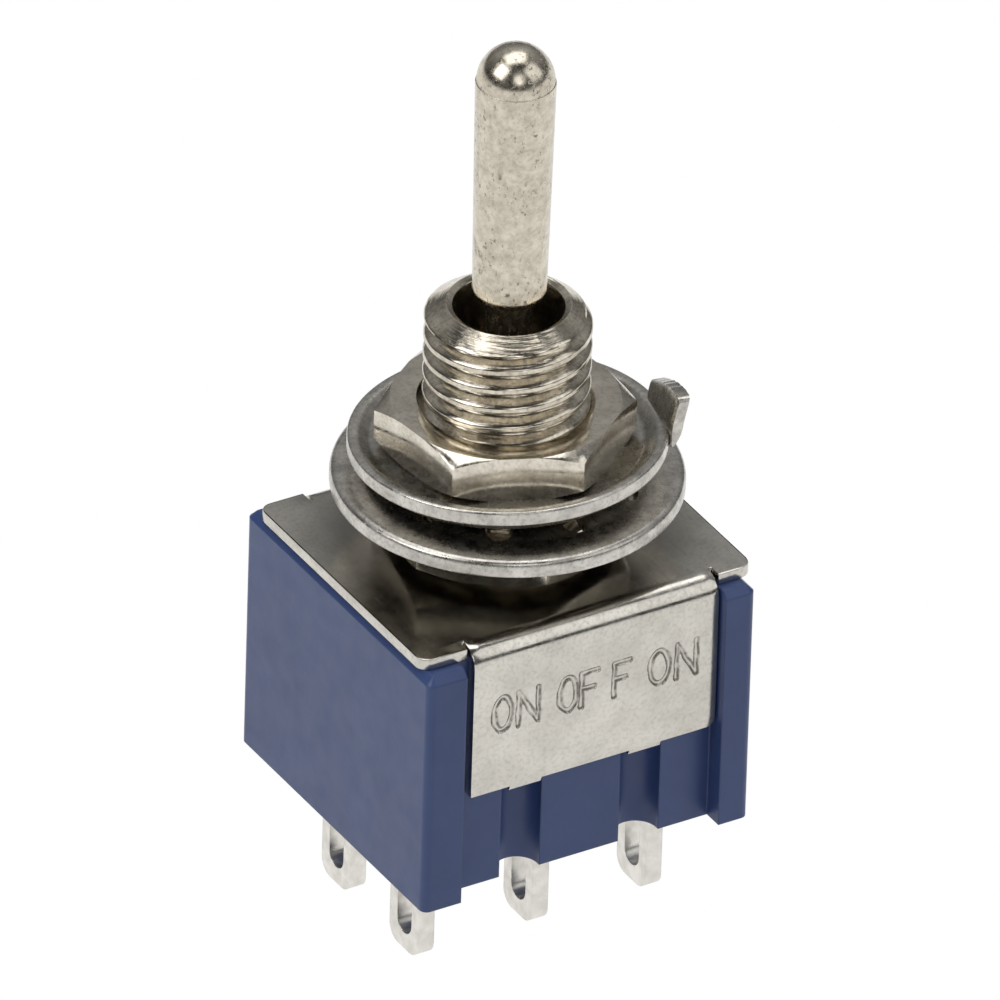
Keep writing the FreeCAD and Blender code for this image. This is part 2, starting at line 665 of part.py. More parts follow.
def make_actuator(doc, d):
    """Block pressed on the spindle, with a bore for each spring plunger."""
    body = new_body(doc, "actuator")
    sketch = new_sketch(body, "XY_Plane", "actuator_outline", d.actuator_bottom)
    add_rectangle(sketch, MIDDLE, MIDDLE, d.actuator_length, d.actuator_width)
    block = pad(body, sketch, "actuator_block", d.actuator_height)

    def upright(edge, start, end):
        return near(start.x, end.x) and near(start.y, end.y)

    dress(body, "Fillet", "actuator_corners", block, d.actuator_corner_radius, upright)
    sketch = new_sketch(body, "XY_Plane", "spindle_socket_outline", d.spindle_bottom)
    add_circle(sketch, MIDDLE, MIDDLE, d.spindle_radius + d.spindle_clearance)
    pocket(body, sketch, "spindle_socket", d.spindle_engagement, reversed_way=True)
    sketch = new_sketch(body, "XY_Plane", "plunger_bores_outline", d.actuator_bottom)
    for side in (-1, 1):
        add_circle(sketch, MIDDLE, d.row_y * side, d.plunger_radius + d.plunger_clearance)
    depth = d.chamber_top - d.actuator_bottom
    pocket(body, sketch, "plunger_bores", depth, reversed_way=True)
    return finish_body(body)


def make_plunger(doc, d, name, side):
    """Hollow plunger with a round tip that rides on the rocker."""
    body = new_body(doc, name)
    sketch = new_sketch(body, "XZ_Plane", f"{name}_profile")
    bore_radius = d.plunger_bore_diameter / 2
    profile = [
        (MIDDLE, d.tip_centre_z - d.plunger_radius),
        (d.plunger_radius, d.tip_centre_z),
        (d.plunger_radius, d.plunger_top),
        (bore_radius, d.plunger_top),
        (bore_radius, d.spring_seat_z),
        (MIDDLE, d.spring_seat_z),
    ]
    add_outline(sketch, profile, arcs={0: (MIDDLE, d.tip_centre_z, "y", 1)})
    revolve(body, sketch, f"{name}_turning")
    bind(body, Placement__Base__y=d.row_y * side)
    return finish_body(body)


def make_spring(doc, d, name, side):
    """Round-wire compression spring between a plunger and the actuator."""
    body = new_body(doc, name)
    wire_radius = d.spring_wire_diameter / 2
    mean_radius = d.spring_diameter / 2 - wire_radius
    low_z = d.spring_seat_z + d.spring_end_clearance + wire_radius
    high_z = d.chamber_top - d.spring_end_clearance - wire_radius
    sketch = new_sketch(body, "XZ_Plane", f"{name}_wire")
    add_circle(sketch, mean_radius, low_z, wire_radius)
    coil = body.newObject("PartDesign::AdditiveHelix", f"{name}_coil")
    coil.Profile = sketch
    coil.ReferenceAxis = (sketch, ["V_Axis"])
    coil.Mode = "pitch-turns-angle"
    bind(coil, Turns=d.spring_turns, Pitch=(high_z - low_z) / d.spring_turns)
    bind(body, Placement__Base__y=d.row_y * side)
    return finish_body(body)


def make_terminal(doc, d, name, place, side):
    """Solder lug: an end one carries a pad, the middle one a fork for the rocker."""
    body = new_body(doc, name)
    lug_bottom = d.case_bottom - d.lug_length
    sketch = new_sketch(body, "YZ_Plane", f"{name}_lug_outline")
    lug_height = d.floor_top - lug_bottom
    add_rectangle(sketch, MIDDLE, lug_bottom + lug_height / 2, d.lug_width, lug_height)
    lug = pad(body, sketch, f"{name}_lug", d.lug_thickness, midplane=True)

    def lug_corner(edge, start, end):
        low = near(start.z, lug_bottom.value) and near(end.z, lug_bottom.value)
        return low and near(start.y, end.y)

    dress(body, "Fillet", f"{name}_corners", lug, d.lug_corner_radius, lug_corner)

    eyelet_z = d.case_bottom - d.eyelet_drop
    straight = d.eyelet_length - d.eyelet_width
    sketch = new_sketch(body, "YZ_Plane", f"{name}_eyelet_outline")
    add_rectangle(sketch, MIDDLE, eyelet_z, d.eyelet_width, straight)
    pocket(body, sketch, f"{name}_eyelet", d.lug_thickness * 2, midplane=True)
    for end in (-1, 1):
        label = "upper" if end > 0 else "lower"
        sketch = new_sketch(body, "YZ_Plane", f"{name}_{label}_round_outline")
        add_circle(sketch, MIDDLE, eyelet_z + straight / 2 * end, d.eyelet_width / 2)
        pocket(body, sketch, f"{name}_{label}_round", d.lug_thickness * 2, midplane=True)

    if place:
        sketch = new_sketch(body, "XY_Plane", f"{name}_pad_outline", d.floor_top)
        add_rectangle(sketch, MIDDLE, MIDDLE, d.pad_length, d.lug_width)
        pad(body, sketch, f"{name}_pad", d.pad_thickness)
        bind(body, Placement__Base__x=d.terminal_pitch * place)
    else:
        sketch = new_sketch(body, "YZ_Plane", f"{name}_fork_outline")
        half_fork = d.fork_width / 2
        half_gap = d.fork_gap / 2
        ear_top = d.floor_top + d.fork_ear_height
        add_outline(sketch, [
            (-half_fork, d.floor_top),
            (half_fork, d.floor_top),
            (half_fork, ear_top),
            (half_gap, ear_top),
            (half_gap, d.rocker_axis_z),
            (-half_gap, d.rocker_axis_z),
            (-half_gap, ear_top),
            (-half_fork, ear_top),
        ])
        pad(body, sketch, f"{name}_fork", d.lug_thickness, midplane=True)
        sketch = new_sketch(body, "XZ_Plane", f"{name}_fulcrum_outline")
        add_circle(sketch, MIDDLE, d.rocker_axis_z, d.fulcrum_radius)
        pad(body, sketch, f"{name}_fulcrum", d.fork_gap, midplane=True)
    bind(body, Placement__Base__y=d.row_y * side)
    return finish_body(body)


def make_rocker(doc, d, name, side):
    """Contact rocker: curved trough for the plunger, flat arms, a neck at the fork."""
    body = new_body(doc, name)
    sketch = new_sketch(body, "XZ_Plane", f"{name}_profile")
    half_length = d.rocker_length / 2
    arm_top = d.rocker_top + d.trough_rise
    centre_z = d.rocker_top + d.trough_radius
    outer_radius = d.trough_radius + d.rocker_thickness
    drop = centre_z - d.arm_bottom
    outer_half = root(outer_radius * outer_radius - drop * drop)
    profile = [
        (-half_length, arm_top),
        (-half_length, d.arm_bottom),
        (-outer_half, d.arm_bottom),
        (outer_half, d.arm_bottom),
        (half_length, d.arm_bottom),
        (half_length, arm_top),
        (d.trough_half, arm_top),
        (-d.trough_half, arm_top),
    ]
    arcs = {2: (MIDDLE, centre_z, "y", 1), 6: (MIDDLE, centre_z, "y", -1)}
    add_outline(sketch, profile, arcs=arcs)
    pad(body, sketch, f"{name}_strip", d.rocker_width, midplane=True)
    sketch = new_sketch(body, "XY_Plane", f"{name}_neck_outline", d.rocker_bottom - d.rocker_thickness)
    cut_width = d.rocker_width - d.rocker_neck_width
    for hand in (-1, 1):
        y_middle = (d.rocker_neck_width / 2 + cut_width / 2) * hand
        add_rectangle(sketch, MIDDLE, y_middle, d.rocker_neck_length, cut_width)
    pocket(body, sketch, f"{name}_neck", d.rocker_thickness * 4, reversed_way=True)
    bind(body, Placement__Base__y=d.row_y * side)
    return finish_body(body)


def make_contact(doc, d, name, x, y, root_z, crown_z):
    """One silver contact: a round shank and a bevelled crown, up or down."""
    upward = crown_z.value > root_z.value
    low_z = root_z if upward else crown_z + d.contact_crown_height
    height = (crown_z - root_z) if upward else (root_z - crown_z)
    shank = doc.addObject("Part::Cylinder", f"{name}_shank")
    bind(shank, Radius=d.contact_diameter / 2, Height=height - d.contact_crown_height)
    bind(shank, Placement__Base__x=x, Placement__Base__y=y, Placement__Base__z=low_z)
    crown = doc.addObject("Part::Cone", f"{name}_crown")
    wide, narrow = d.contact_diameter / 2, d.contact_crown_diameter / 2
    bind(crown, Radius1=wide if upward else narrow, Radius2=narrow if upward else wide)
    crown_low = crown_z - d.contact_crown_height if upward else crown_z
    bind(crown, Height=d.contact_crown_height)
    bind(crown, Placement__Base__x=x, Placement__Base__y=y, Placement__Base__z=crown_low)
    whole = doc.addObject("Part::MultiFuse", name)
    whole.Shapes = [shank, crown]
    whole.Refine = True
    return whole


def make_contact_group(doc, d, name, places, root_z, crown_z):
    """Several like contacts kept as one piece of the list."""
    group = doc.addObject("Part::Compound", name)
    group.Label = name
    group.Links = [
        make_contact(doc, d, f"{name}_{number}", x, y, root_z, crown_z)
        for number, (x, y) in enumerate(places, start=1)
    ]
    doc.recompute()
    return group


def make_nut(doc, d, name, bottom, turn):
    """Hexagon nut with both faces bevelled and a countersunk bore."""
    body = new_body(doc, name)
    half_flats = d.nut_across_flats / 2
    corner_radius = half_flats / cosine(sized(FULL_TURN / 12))
    top = bottom + d.nut_thickness
    sketch = new_sketch(body, "XY_Plane", f"{name}_hexagon", bottom)
    half_side = half_flats * tangent(sized(FULL_TURN / 12))
    add_outline(sketch, [
        (corner_radius, MIDDLE),
        (half_side, half_flats),
        (-half_side, half_flats),
        (-corner_radius, MIDDLE),
        (-half_side, -half_flats),
        (half_side, -half_flats),
    ])
    pad(body, sketch, f"{name}_block", d.nut_thickness)
    bore_radius = d.nut_bore_radius
    sketch = new_sketch(body, "XY_Plane", f"{name}_bore_outline", bottom)
    add_circle(sketch, MIDDLE, MIDDLE, bore_radius)
    pocket(body, sketch, f"{name}_bore", d.nut_thickness, reversed_way=True)

    bevel_radius = half_flats + d.nut_bevel_margin
    outside = corner_radius + d.nut_bevel_margin
    bevel = (outside - bevel_radius) * tangent(d.nut_bevel_angle)
    mouth_radius = d.nut_mouth_diameter / 2
    mouth = mouth_radius - bore_radius
    for label, face, way in (("upper", top, -1), ("lower", bottom, 1)):
        sketch = new_sketch(body, "XZ_Plane", f"{name}_{label}_bevel_profile")
        add_outline(sketch, [
            (bevel_radius, face),
            (outside, face),
            (outside, face + bevel * way),
        ])
        revolve(body, sketch, f"{name}_{label}_bevel", cut=True)
        sketch = new_sketch(body, "XZ_Plane", f"{name}_{label}_mouth_profile")
        add_outline(sketch, [
            (bore_radius, face),
            (mouth_radius, face),
            (bore_radius, face + mouth * way),
        ])
        revolve(body, sketch, f"{name}_{label}_mouth", cut=True)
    bind(body, Placement__Rotation__Angle=turn * ONE_DEGREE)
    return finish_body(body)


def make_lock_washer(doc, d):
    """Lock washer with inner teeth that rise towards the bushing."""
    body = new_body(doc, "lock_washer")
    outer = d.lock_washer_diameter / 2
    tooth_root = d.lock_tooth_root_diameter / 2
    tooth_tip = d.lock_tooth_bore / 2
    sketch = new_sketch(body, "XZ_Plane", "lock_washer_profile")
    add_outline(sketch, [
        (tooth_root, d.lower_nut_top),
        (outer, d.lower_nut_top),
        (outer, d.lock_ring_top),
        (tooth_root, d.lock_ring_top),
        (tooth_tip, d.dish_bottom),
        (tooth_tip, d.dish_bottom - d.lock_tooth_thickness),
    ])
    ring = revolve(body, sketch, "lock_washer_ring")

    def ring_edge(edge, start, end):
        return near(math.hypot(start.x, start.y), outer.value)

    dress(body, "Fillet", "lock_washer_rim", ring, d.lock_rim_round, ring_edge)
    slot_end = tooth_root - d.lock_tooth_gap / 2
    slot_start = tooth_tip - d.lock_tooth_gap
    sketch = new_sketch(body, "XY_Plane", "tooth_gap_outline", d.lower_nut_top)
    add_outline(sketch, [
        (slot_start, -(d.lock_tooth_gap / 2)),
        (slot_end, -(d.lock_tooth_gap / 2)),
        (slot_end, d.lock_tooth_gap / 2),
        (slot_start, d.lock_tooth_gap / 2),
    ], arcs={1: (slot_end, MIDDLE, "x", 1)})
    depth = d.dish_bottom - d.lower_nut_top
    gap = pocket(body, sketch, "tooth_gap", depth, reversed_way=True)
    pattern = body.newObject("PartDesign::PolarPattern", "tooth_gaps")
    pattern.Originals = [gap]
    pattern.Axis = (sketch, ["N_Axis"])
    pattern.Angle = FULL_TURN
    bind(pattern, Occurrences=d.lock_tooth_count)
    body.Tip = pattern
    bind(body, Placement__Rotation__Angle=d.lock_washer_turn * ONE_DEGREE)
    return finish_body(body)


def make_locating_washer(doc, d):
    """Dished washer with a flat rim and one tab bent up to key in the panel.

    The tab is sheared rough: it is tall towards the front and slopes down behind.
    """
    body = new_body(doc, "locating_washer")
    outer = d.locating_washer_diameter / 2
    thickness = d.locating_washer_thickness
    rim_bottom = d.dish_bottom + d.dish_depth
    rim_top = d.dish_top + d.dish_depth
    sketch = new_sketch(body, "XZ_Plane", "dish_profile")
    add_outline(sketch, [
        (d.locating_washer_bore / 2, d.dish_bottom),
        (d.dish_floor_diameter / 2 + d.dish_wall_offset, d.dish_bottom),
        (d.dish_rim_bore / 2 + d.dish_wall_offset, rim_bottom),
        (outer, rim_bottom),
        (outer, rim_top),
        (d.dish_rim_bore / 2, rim_top),
        (d.dish_floor_diameter / 2, d.dish_top),
        (d.locating_washer_bore / 2, d.dish_top),
    ])
    revolve(body, sketch, "dish")

    lean = sized(FULL_TURN / 4) - d.tab_angle
    foot = outer - d.tab_foot_inset
    blank_height = d.tab_height * 1.2
    top_x = foot + blank_height * tangent(lean)
    top_z = rim_top + blank_height
    bend_x = foot + d.tab_thickness / cosine(lean) - thickness * tangent(lean)
    sketch = new_sketch(body, "XZ_Plane", "tab_profile", d.tab_shift)
    add_outline(sketch, [
        (foot, rim_bottom),
        (bend_x - d.tab_bend_bevel, rim_bottom),
        (bend_x + d.tab_bend_bevel * tangent(lean), rim_bottom + d.tab_bend_bevel),
        (top_x + d.tab_thickness * cosine(lean), top_z - d.tab_thickness * sine(lean)),
        (top_x, top_z),
        (foot, rim_top),
    ])
    pad(body, sketch, "tab", d.tab_width, midplane=True)

    front_y = -(d.tab_shift + d.tab_width / 2)
    rear_y = d.tab_width / 2 - d.tab_shift
    beyond = d.tab_thickness / 4
    above = top_z + d.tab_thickness
    sketch = new_sketch(body, "YZ_Plane", "tab_end_outline")
    add_outline(sketch, [
        (front_y - beyond, rim_top + d.tab_front_height),
        (front_y + beyond, rim_top + d.tab_height),
        (-d.tab_shift, rim_top + d.tab_middle_height),
        (rear_y + beyond, rim_top + d.tab_rear_height),
        (rear_y + beyond, above),
        (front_y - beyond, above),
    ])
    pocket(body, sketch, "tab_end", d.locating_washer_diameter * 2, midplane=True)
    bind(body, Placement__Rotation__Angle=d.tab_turn * ONE_DEGREE)
    return finish_body(body)


def build(doc):
    """All pieces of the switch, in the order of assembly."""
    sheet = doc.addObject("Spreadsheet::Sheet", "Sizes")
    d = Dimensions(sheet)
    doc.recompute()
    pieces = [make_housing(doc, d)]
    for row, side in (("front", -1), ("rear", 1)):
        for label, place in (("left", -1), ("center", 0), ("right", 1)):
            pieces.append(make_terminal(doc, d, f"terminal_{row}_{label}", place, side))
    ends = [(d.terminal_pitch * hand, d.row_y * side) for side in (-1, 1) for hand in (-1, 1)]
    pieces.append(
        make_contact_group(doc, d, "fixed_contacts", ends, d.pad_top, d.fixed_contact_top)
    )
    for row, side, places in (("front", -1, ends[:2]), ("rear", 1, ends[2:])):
        pieces.append(make_rocker(doc, d, f"rocker_{row}", side))
        pieces.append(
            make_contact_group(
                doc, d, f"moving_contacts_{row}", places, d.arm_bottom, d.moving_contact_bottom
            )
        )
        pieces.append(make_plunger(doc, d, f"plunger_{row}", side))
        pieces.append(make_spring(doc, d, f"spring_{row}", side))
    pieces.append(make_actuator(doc, d))
    pieces.append(make_lever(doc, d))
    pieces.append(make_bushing(doc, d))
    pieces.append(make_cover(doc, d))
    pieces.append(make_nut(doc, d, "lower_nut", d.lower_nut_height, d.lower_nut_turn))
    pieces.append(make_lock_washer(doc, d))
    pieces.append(make_locating_washer(doc, d))
    pieces.append(make_nut(doc, d, "upper_nut", d.dish_top, d.upper_nut_turn))
    return pieces


def check_document(doc):
    """Stops when any object of the document did not compute."""
    doc.recompute()
    for thing in doc.Objects:
        bad = [word for word in thing.State if word in ("Invalid", "Error")]
        if bad:
            raise RuntimeError(f"{thing.Label} is {bad}")


def export_pieces(pieces):
    os.makedirs("parts", exist_ok=True)
    for piece in pieces:
        shape = piece.Shape
        if shape.isNull() or not shape.isValid() or not shape.Solids:
            raise RuntimeError(f"{piece.Label} has no valid solid")
        shape.exportStep(f"parts/{piece.Label}.step")
        box = shape.BoundBox
        print(
            f"{piece.Label:24s} volume {shape.Volume:8.2f} solids {len(shape.Solids)}"
            f"  x {box.XMin:6.2f} {box.XMax:6.2f}  y {box.YMin:6.2f} {box.YMax:6.2f}"
            f"  z {box.ZMin:7.2f} {box.ZMax:6.2f}"
        )


document = FreeCAD.newDocument("toggle_switch")
all_pieces = build(document)
check_document(document)
export_pieces(all_pieces)
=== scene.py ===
# %% [markdown]
# # A miniature panel toggle switch
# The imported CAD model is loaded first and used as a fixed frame: it says where every
# piece sits and which body it moves with. Blender then gives the visible metal the
# detail that catches light: a real helical thread, rounded edges, stamped letters,
# dished washers. Everything is drawn in millimetres and scaled to metres once.

# %% Load the frame
import math

import bmesh
import bpy
import numpy as np
from mathutils import Matrix, Vector, noise


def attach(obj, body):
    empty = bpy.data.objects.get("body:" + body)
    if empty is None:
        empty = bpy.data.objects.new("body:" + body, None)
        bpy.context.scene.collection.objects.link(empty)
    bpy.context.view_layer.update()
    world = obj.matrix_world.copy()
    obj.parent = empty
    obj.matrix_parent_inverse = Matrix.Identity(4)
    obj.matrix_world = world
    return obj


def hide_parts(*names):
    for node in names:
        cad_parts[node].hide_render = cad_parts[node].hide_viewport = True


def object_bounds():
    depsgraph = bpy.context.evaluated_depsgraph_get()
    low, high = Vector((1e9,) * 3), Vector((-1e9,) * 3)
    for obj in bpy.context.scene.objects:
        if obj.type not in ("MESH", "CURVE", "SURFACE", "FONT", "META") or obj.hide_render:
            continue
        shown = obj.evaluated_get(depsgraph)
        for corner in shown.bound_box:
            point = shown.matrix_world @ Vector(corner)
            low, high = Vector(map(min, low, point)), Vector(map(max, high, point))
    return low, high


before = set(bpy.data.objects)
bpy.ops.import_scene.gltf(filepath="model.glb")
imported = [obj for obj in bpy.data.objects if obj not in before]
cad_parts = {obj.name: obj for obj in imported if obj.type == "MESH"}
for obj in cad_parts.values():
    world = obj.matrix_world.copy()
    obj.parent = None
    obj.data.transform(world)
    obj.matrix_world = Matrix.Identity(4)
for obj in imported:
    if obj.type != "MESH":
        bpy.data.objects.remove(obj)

CAD_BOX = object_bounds()
MM = 0.001
scene = bpy.context.scene
print("nodes:", len(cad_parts))

# %% [markdown]
# The photograph was taken with a long lens and has almost no perspective. The camera
# could be placed by eye, but a fit is surer: it stands a metre off with a very long
# lens, at the angle found from the case's edges and the circles of the washers.

# %% Camera
CAMERA_PLACE = Vector((-440.0, -719.9, 541.6)) * MM
CAMERA_RIGHT = Vector((0.8617, -0.5068, 0.0263))
CAMERA_UP = Vector((0.2543, 0.4761, 0.8418))
SENSOR_MM = 36.0
FOCAL_IN_FRAMES = 28.304
NEAREST, FARTHEST = 0.05, 20.0

camera_data = bpy.data.cameras.new("camera")
camera_data.sensor_width = SENSOR_MM
camera_data.lens = FOCAL_IN_FRAMES * SENSOR_MM
camera_data.clip_start, camera_data.clip_end = NEAREST, FARTHEST
camera = bpy.data.objects.new("camera", camera_data)
scene.collection.objects.link(camera)
back = CAMERA_RIGHT.cross(CAMERA_UP).normalized()
up = back.cross(CAMERA_RIGHT).normalized()
turned_axes = Matrix((up.cross(back), up, back)).transposed().to_4x4()
camera.matrix_world = Matrix.Translation(CAMERA_PLACE) @ turned_axes
scene.camera = camera
scene.view_settings.view_transform = "Standard"
print("camera lens mm:", round(camera_data.lens, 1))

# %% [markdown]
# A finish is a tree of nodes. A picture could be wrapped round a piece instead, but
# noise in the piece's own coordinates has no seams, and it stays with the lever when
# that moves. These helpers each add one kind of node, so that finishes read like recipes.

# %% Helpers that start a finish
def new_finish(name):
    material = bpy.data.materials.new(name)
    material.use_nodes = True
    tree = material.node_tree
    tree.nodes.clear()
    output = tree.nodes.new("ShaderNodeOutputMaterial")
    shader = tree.nodes.new("ShaderNodeBsdfPrincipled")
    tree.links.new(shader.outputs["BSDF"], output.inputs["Surface"])
    return material, tree, shader


def place_on_piece(tree, stretch=(1.0, 1.0, 1.0), turn=(0.0, 0.0, 0.0)):
    source = tree.nodes.new("ShaderNodeTexCoord")
    mapping = tree.nodes.new("ShaderNodeMapping")
    mapping.inputs["Scale"].default_value = stretch
    mapping.inputs["Rotation"].default_value = turn
    tree.links.new(source.outputs["Object"], mapping.inputs["Vector"])
    return mapping.outputs["Vector"]


def grain_field(tree, grain_mm, detail=4.0, stretch=(1.0, 1.0, 1.0), turn=(0.0, 0.0, 0.0)):
    """Noise whose blotches are about grain_mm across."""
    node = tree.nodes.new("ShaderNodeTexNoise")
    node.inputs["Scale"].default_value = 1.0 / (grain_mm * MM)
    node.inputs["Detail"].default_value = detail
    tree.links.new(place_on_piece(tree, stretch, turn), node.inputs["Vector"])
    return node.outputs["Fac"]


print("finish helpers: start, place, grain")

# %% [markdown]
# Noise comes out as numbers round a half. A ramp picks the part of that range that
# matters, arithmetic joins two fields, and a blend turns a field into colour.

# %% Helpers that shape a field
def ramp(tree, value, low, high, from_low, from_high):
    node = tree.nodes.new("ShaderNodeMapRange")
    node.inputs["From Min"].default_value = from_low
    node.inputs["From Max"].default_value = from_high
    node.inputs["To Min"].default_value = low
    node.inputs["To Max"].default_value = high
    tree.links.new(value, node.inputs["Value"])
    return node.outputs["Result"]


def arithmetic(tree, operation, first, second):
    node = tree.nodes.new("ShaderNodeMath")
    node.operation = operation
    for socket, value in zip(node.inputs, (first, second)):
        if isinstance(value, (int, float)):
            socket.default_value = value
        else:
            tree.links.new(value, socket)
    return node.outputs["Value"]


def blend_colours(tree, factor, first, second):
    node = tree.nodes.new("ShaderNodeMix")
    node.data_type = "RGBA"
    tree.links.new(factor, node.inputs["Factor"])
    for socket, value in ((node.inputs["A"], first), (node.inputs["B"], second)):
        if isinstance(value, tuple):
            socket.default_value = (*value, 1.0)
        else:
            tree.links.new(value, socket)
    return node.outputs["Result"]


print("finish helpers: ramp, arithmetic, blend")

# %% [markdown]
# Fine grain is far too small to model, so it only tips the surface's normal. Each layer
# is a height field with its depth, and the layers are chained. A Bevel node in front of
# them rounds the hard edges of CAD meshes in the light.

# %% Helper that adds the fine relief
BEVEL_SAMPLES = 6


def add_relief(tree, shader, layers, round_edges_mm=0.0):
    """Chains layers, each a pair of height field and depth in millimetres."""
    normal = None
    if round_edges_mm:
        edge = tree.nodes.new("ShaderNodeBevel")
        edge.samples = BEVEL_SAMPLES
        edge.inputs["Radius"].default_value = round_edges_mm * MM
        normal = edge.outputs["Normal"]
    for height, depth_mm in layers:
        bump = tree.nodes.new("ShaderNodeBump")
        bump.inputs["Strength"].default_value = 1.0
        bump.inputs["Distance"].default_value = depth_mm * MM
        tree.links.new(height, bump.inputs["Height"])
        if normal is not None:
            tree.links.new(normal, bump.inputs["Normal"])
        normal = bump.outputs["Normal"]
    tree.links.new(normal, shader.inputs["Normal"])


print("bevel samples:", BEVEL_SAMPLES)

# %% [markdown]
# Plating is never even. It has dark specks, and the lever is peppered with tiny pits,
# more in some patches than in others. Pits are dark, rough and a little deep, so they
# change three things of the finish at once.

# %% Specks and pits
SPECK_MM = 0.16
SPECK_COLOUR = (0.12, 0.11, 0.095)
PIT_MM = 0.16
PIT_PATCH_MM = 1.6
PIT_COLOUR = (0.22, 0.19, 0.16)
PIT_ROUGHER = 0.25
PIT_DEPTH_MM = 0.006


def speckled(tree, colour, share):
    speck = ramp(tree, grain_field(tree, SPECK_MM, 6.0), 0.0, share, 0.46, 0.68)
    return blend_colours(tree, speck, colour, SPECK_COLOUR)


def pitted(tree, colour, rough, share):
    """Colour, roughness and relief layer of a pitted skin."""
    cells = tree.nodes.new("ShaderNodeTexNoise")
    cells.inputs["Scale"].default_value = 1.0 / (PIT_MM * MM)
    cells.inputs["Detail"].default_value = 6.0
    cells.inputs["Roughness"].default_value = 0.62
    tree.links.new(place_on_piece(tree, (1.0, 1.0, 0.7)), cells.inputs["Vector"])
    pit = ramp(tree, cells.outputs["Fac"], 0.0, 1.0, 0.575, 0.665)
    patch = ramp(tree, grain_field(tree, PIT_PATCH_MM, 3.0), 0.0, 1.0, 0.38, 0.56)
    pit = arithmetic(tree, "MULTIPLY", pit, patch)
    colour = blend_colours(tree, arithmetic(tree, "MULTIPLY", pit, share), colour, PIT_COLOUR)
    rough = arithmetic(tree, "ADD", rough, arithmetic(tree, "MULTIPLY", pit, PIT_ROUGHER))
    return colour, rough, (arithmetic(tree, "MULTIPLY", pit, -1.0), PIT_DEPTH_MM)


print("pit size mm:", PIT_MM)

# %% [markdown]
# Handling leaves long thin scratches, and the lathe leaves rings. Both are noise drawn
# out one way: scratches lie at three angles and are kept only where the noise peaks.

# %% Scratches and turned rings
SCRATCH_MM = 0.035
SCRATCH_STRETCH = (1.0, 0.02, 1.0)
SCRATCH_TURNS = (18.0, 74.0, 131.0)
RING_MM = 0.055
RING_STRETCH = (0.05, 0.05, 1.0)


def scratches(tree, turn_degrees):
    turn = (0.0, 0.0, math.radians(turn_degrees))
    field = grain_field(tree, SCRATCH_MM, 2.0, SCRATCH_STRETCH, turn)
    return ramp(tree, field, 0.0, 1.0, 0.66, 0.74)


def turned_rings(tree):
    return grain_field(tree, RING_MM, 3.0, RING_STRETCH)


print("scratch angles:", SCRATCH_TURNS)

# %% [markdown]
# The sides of the stamped letters are darker. The cover's mesh carries a number called
# stamped, which is one on the side of a stroke, and this finish darkens the metal by
# it, less in patches. A picture of letters could slide; a number on the mesh can't.

# %% Darker sides of the stamped strokes
STROKE_DARK_COLOUR = (0.17, 0.155, 0.135)
STROKE_ROUGHER = 0.30
STROKE_PATCH_MM = 0.35


# Darkens the colour on the sides of the stamped strokes, less in patches.
def darken_strokes(tree, colour, rough, share):
    groove = tree.nodes.new("ShaderNodeAttribute")
    groove.attribute_name = "stamped"
    stroke_darkening = ramp(tree, groove.outputs["Fac"], 0.0, share, 0.2, 0.8)
    patchy = ramp(tree, grain_field(tree, STROKE_PATCH_MM, 4.0), 0.35, 1.0, 0.38, 0.56)
    stroke_darkening = arithmetic(tree, "MULTIPLY", stroke_darkening, patchy)
    colour = blend_colours(tree, stroke_darkening, colour, STROKE_DARK_COLOUR)
    return colour, arithmetic(tree, "ADD", rough, arithmetic(tree, "MULTIPLY", stroke_darkening, STROKE_ROUGHER))


print("dirt darkens by the attribute: stamped")

# %% [markdown]
# Shade is painted round the axis: a dark colour on the metal near the nuts, where the
# washers and nuts shade it. This painted shade is full inside one radius and gone outside
# another, and below the top face of the cover there is none, so the skirts keep their colour.

# %% Painted shade round the axis
PAINTED_SHADE_COLOUR = (0.10, 0.093, 0.080)
SHADE_STARTS_MM, SHADE_FULL_MM = -0.06, -0.01


# Paints shade: darkens the colour near the axis, above the top face of the cover only.
def shaded_round_axis(tree, colour, share, inner_mm, outer_mm):
    height = tree.nodes.new("ShaderNodeSeparateXYZ")
    tree.links.new(place_on_piece(tree), height.inputs["Vector"])
    on_top = ramp(tree, height.outputs["Z"], 0.0, 1.0, SHADE_STARTS_MM * MM, SHADE_FULL_MM * MM)
    from_axis = tree.nodes.new("ShaderNodeVectorMath")
    from_axis.operation = "LENGTH"
    tree.links.new(place_on_piece(tree, (1.0, 1.0, 0.0)), from_axis.inputs[0])
    shade_share = ramp(tree, from_axis.outputs["Value"], share, 0.0, inner_mm * MM, outer_mm * MM)
    shade_share = arithmetic(tree, "MULTIPLY", shade_share, on_top)
    return blend_colours(tree, shade_share, colour, PAINTED_SHADE_COLOUR)


print("oil film reaches the top face from mm:", SHADE_STARTS_MM)
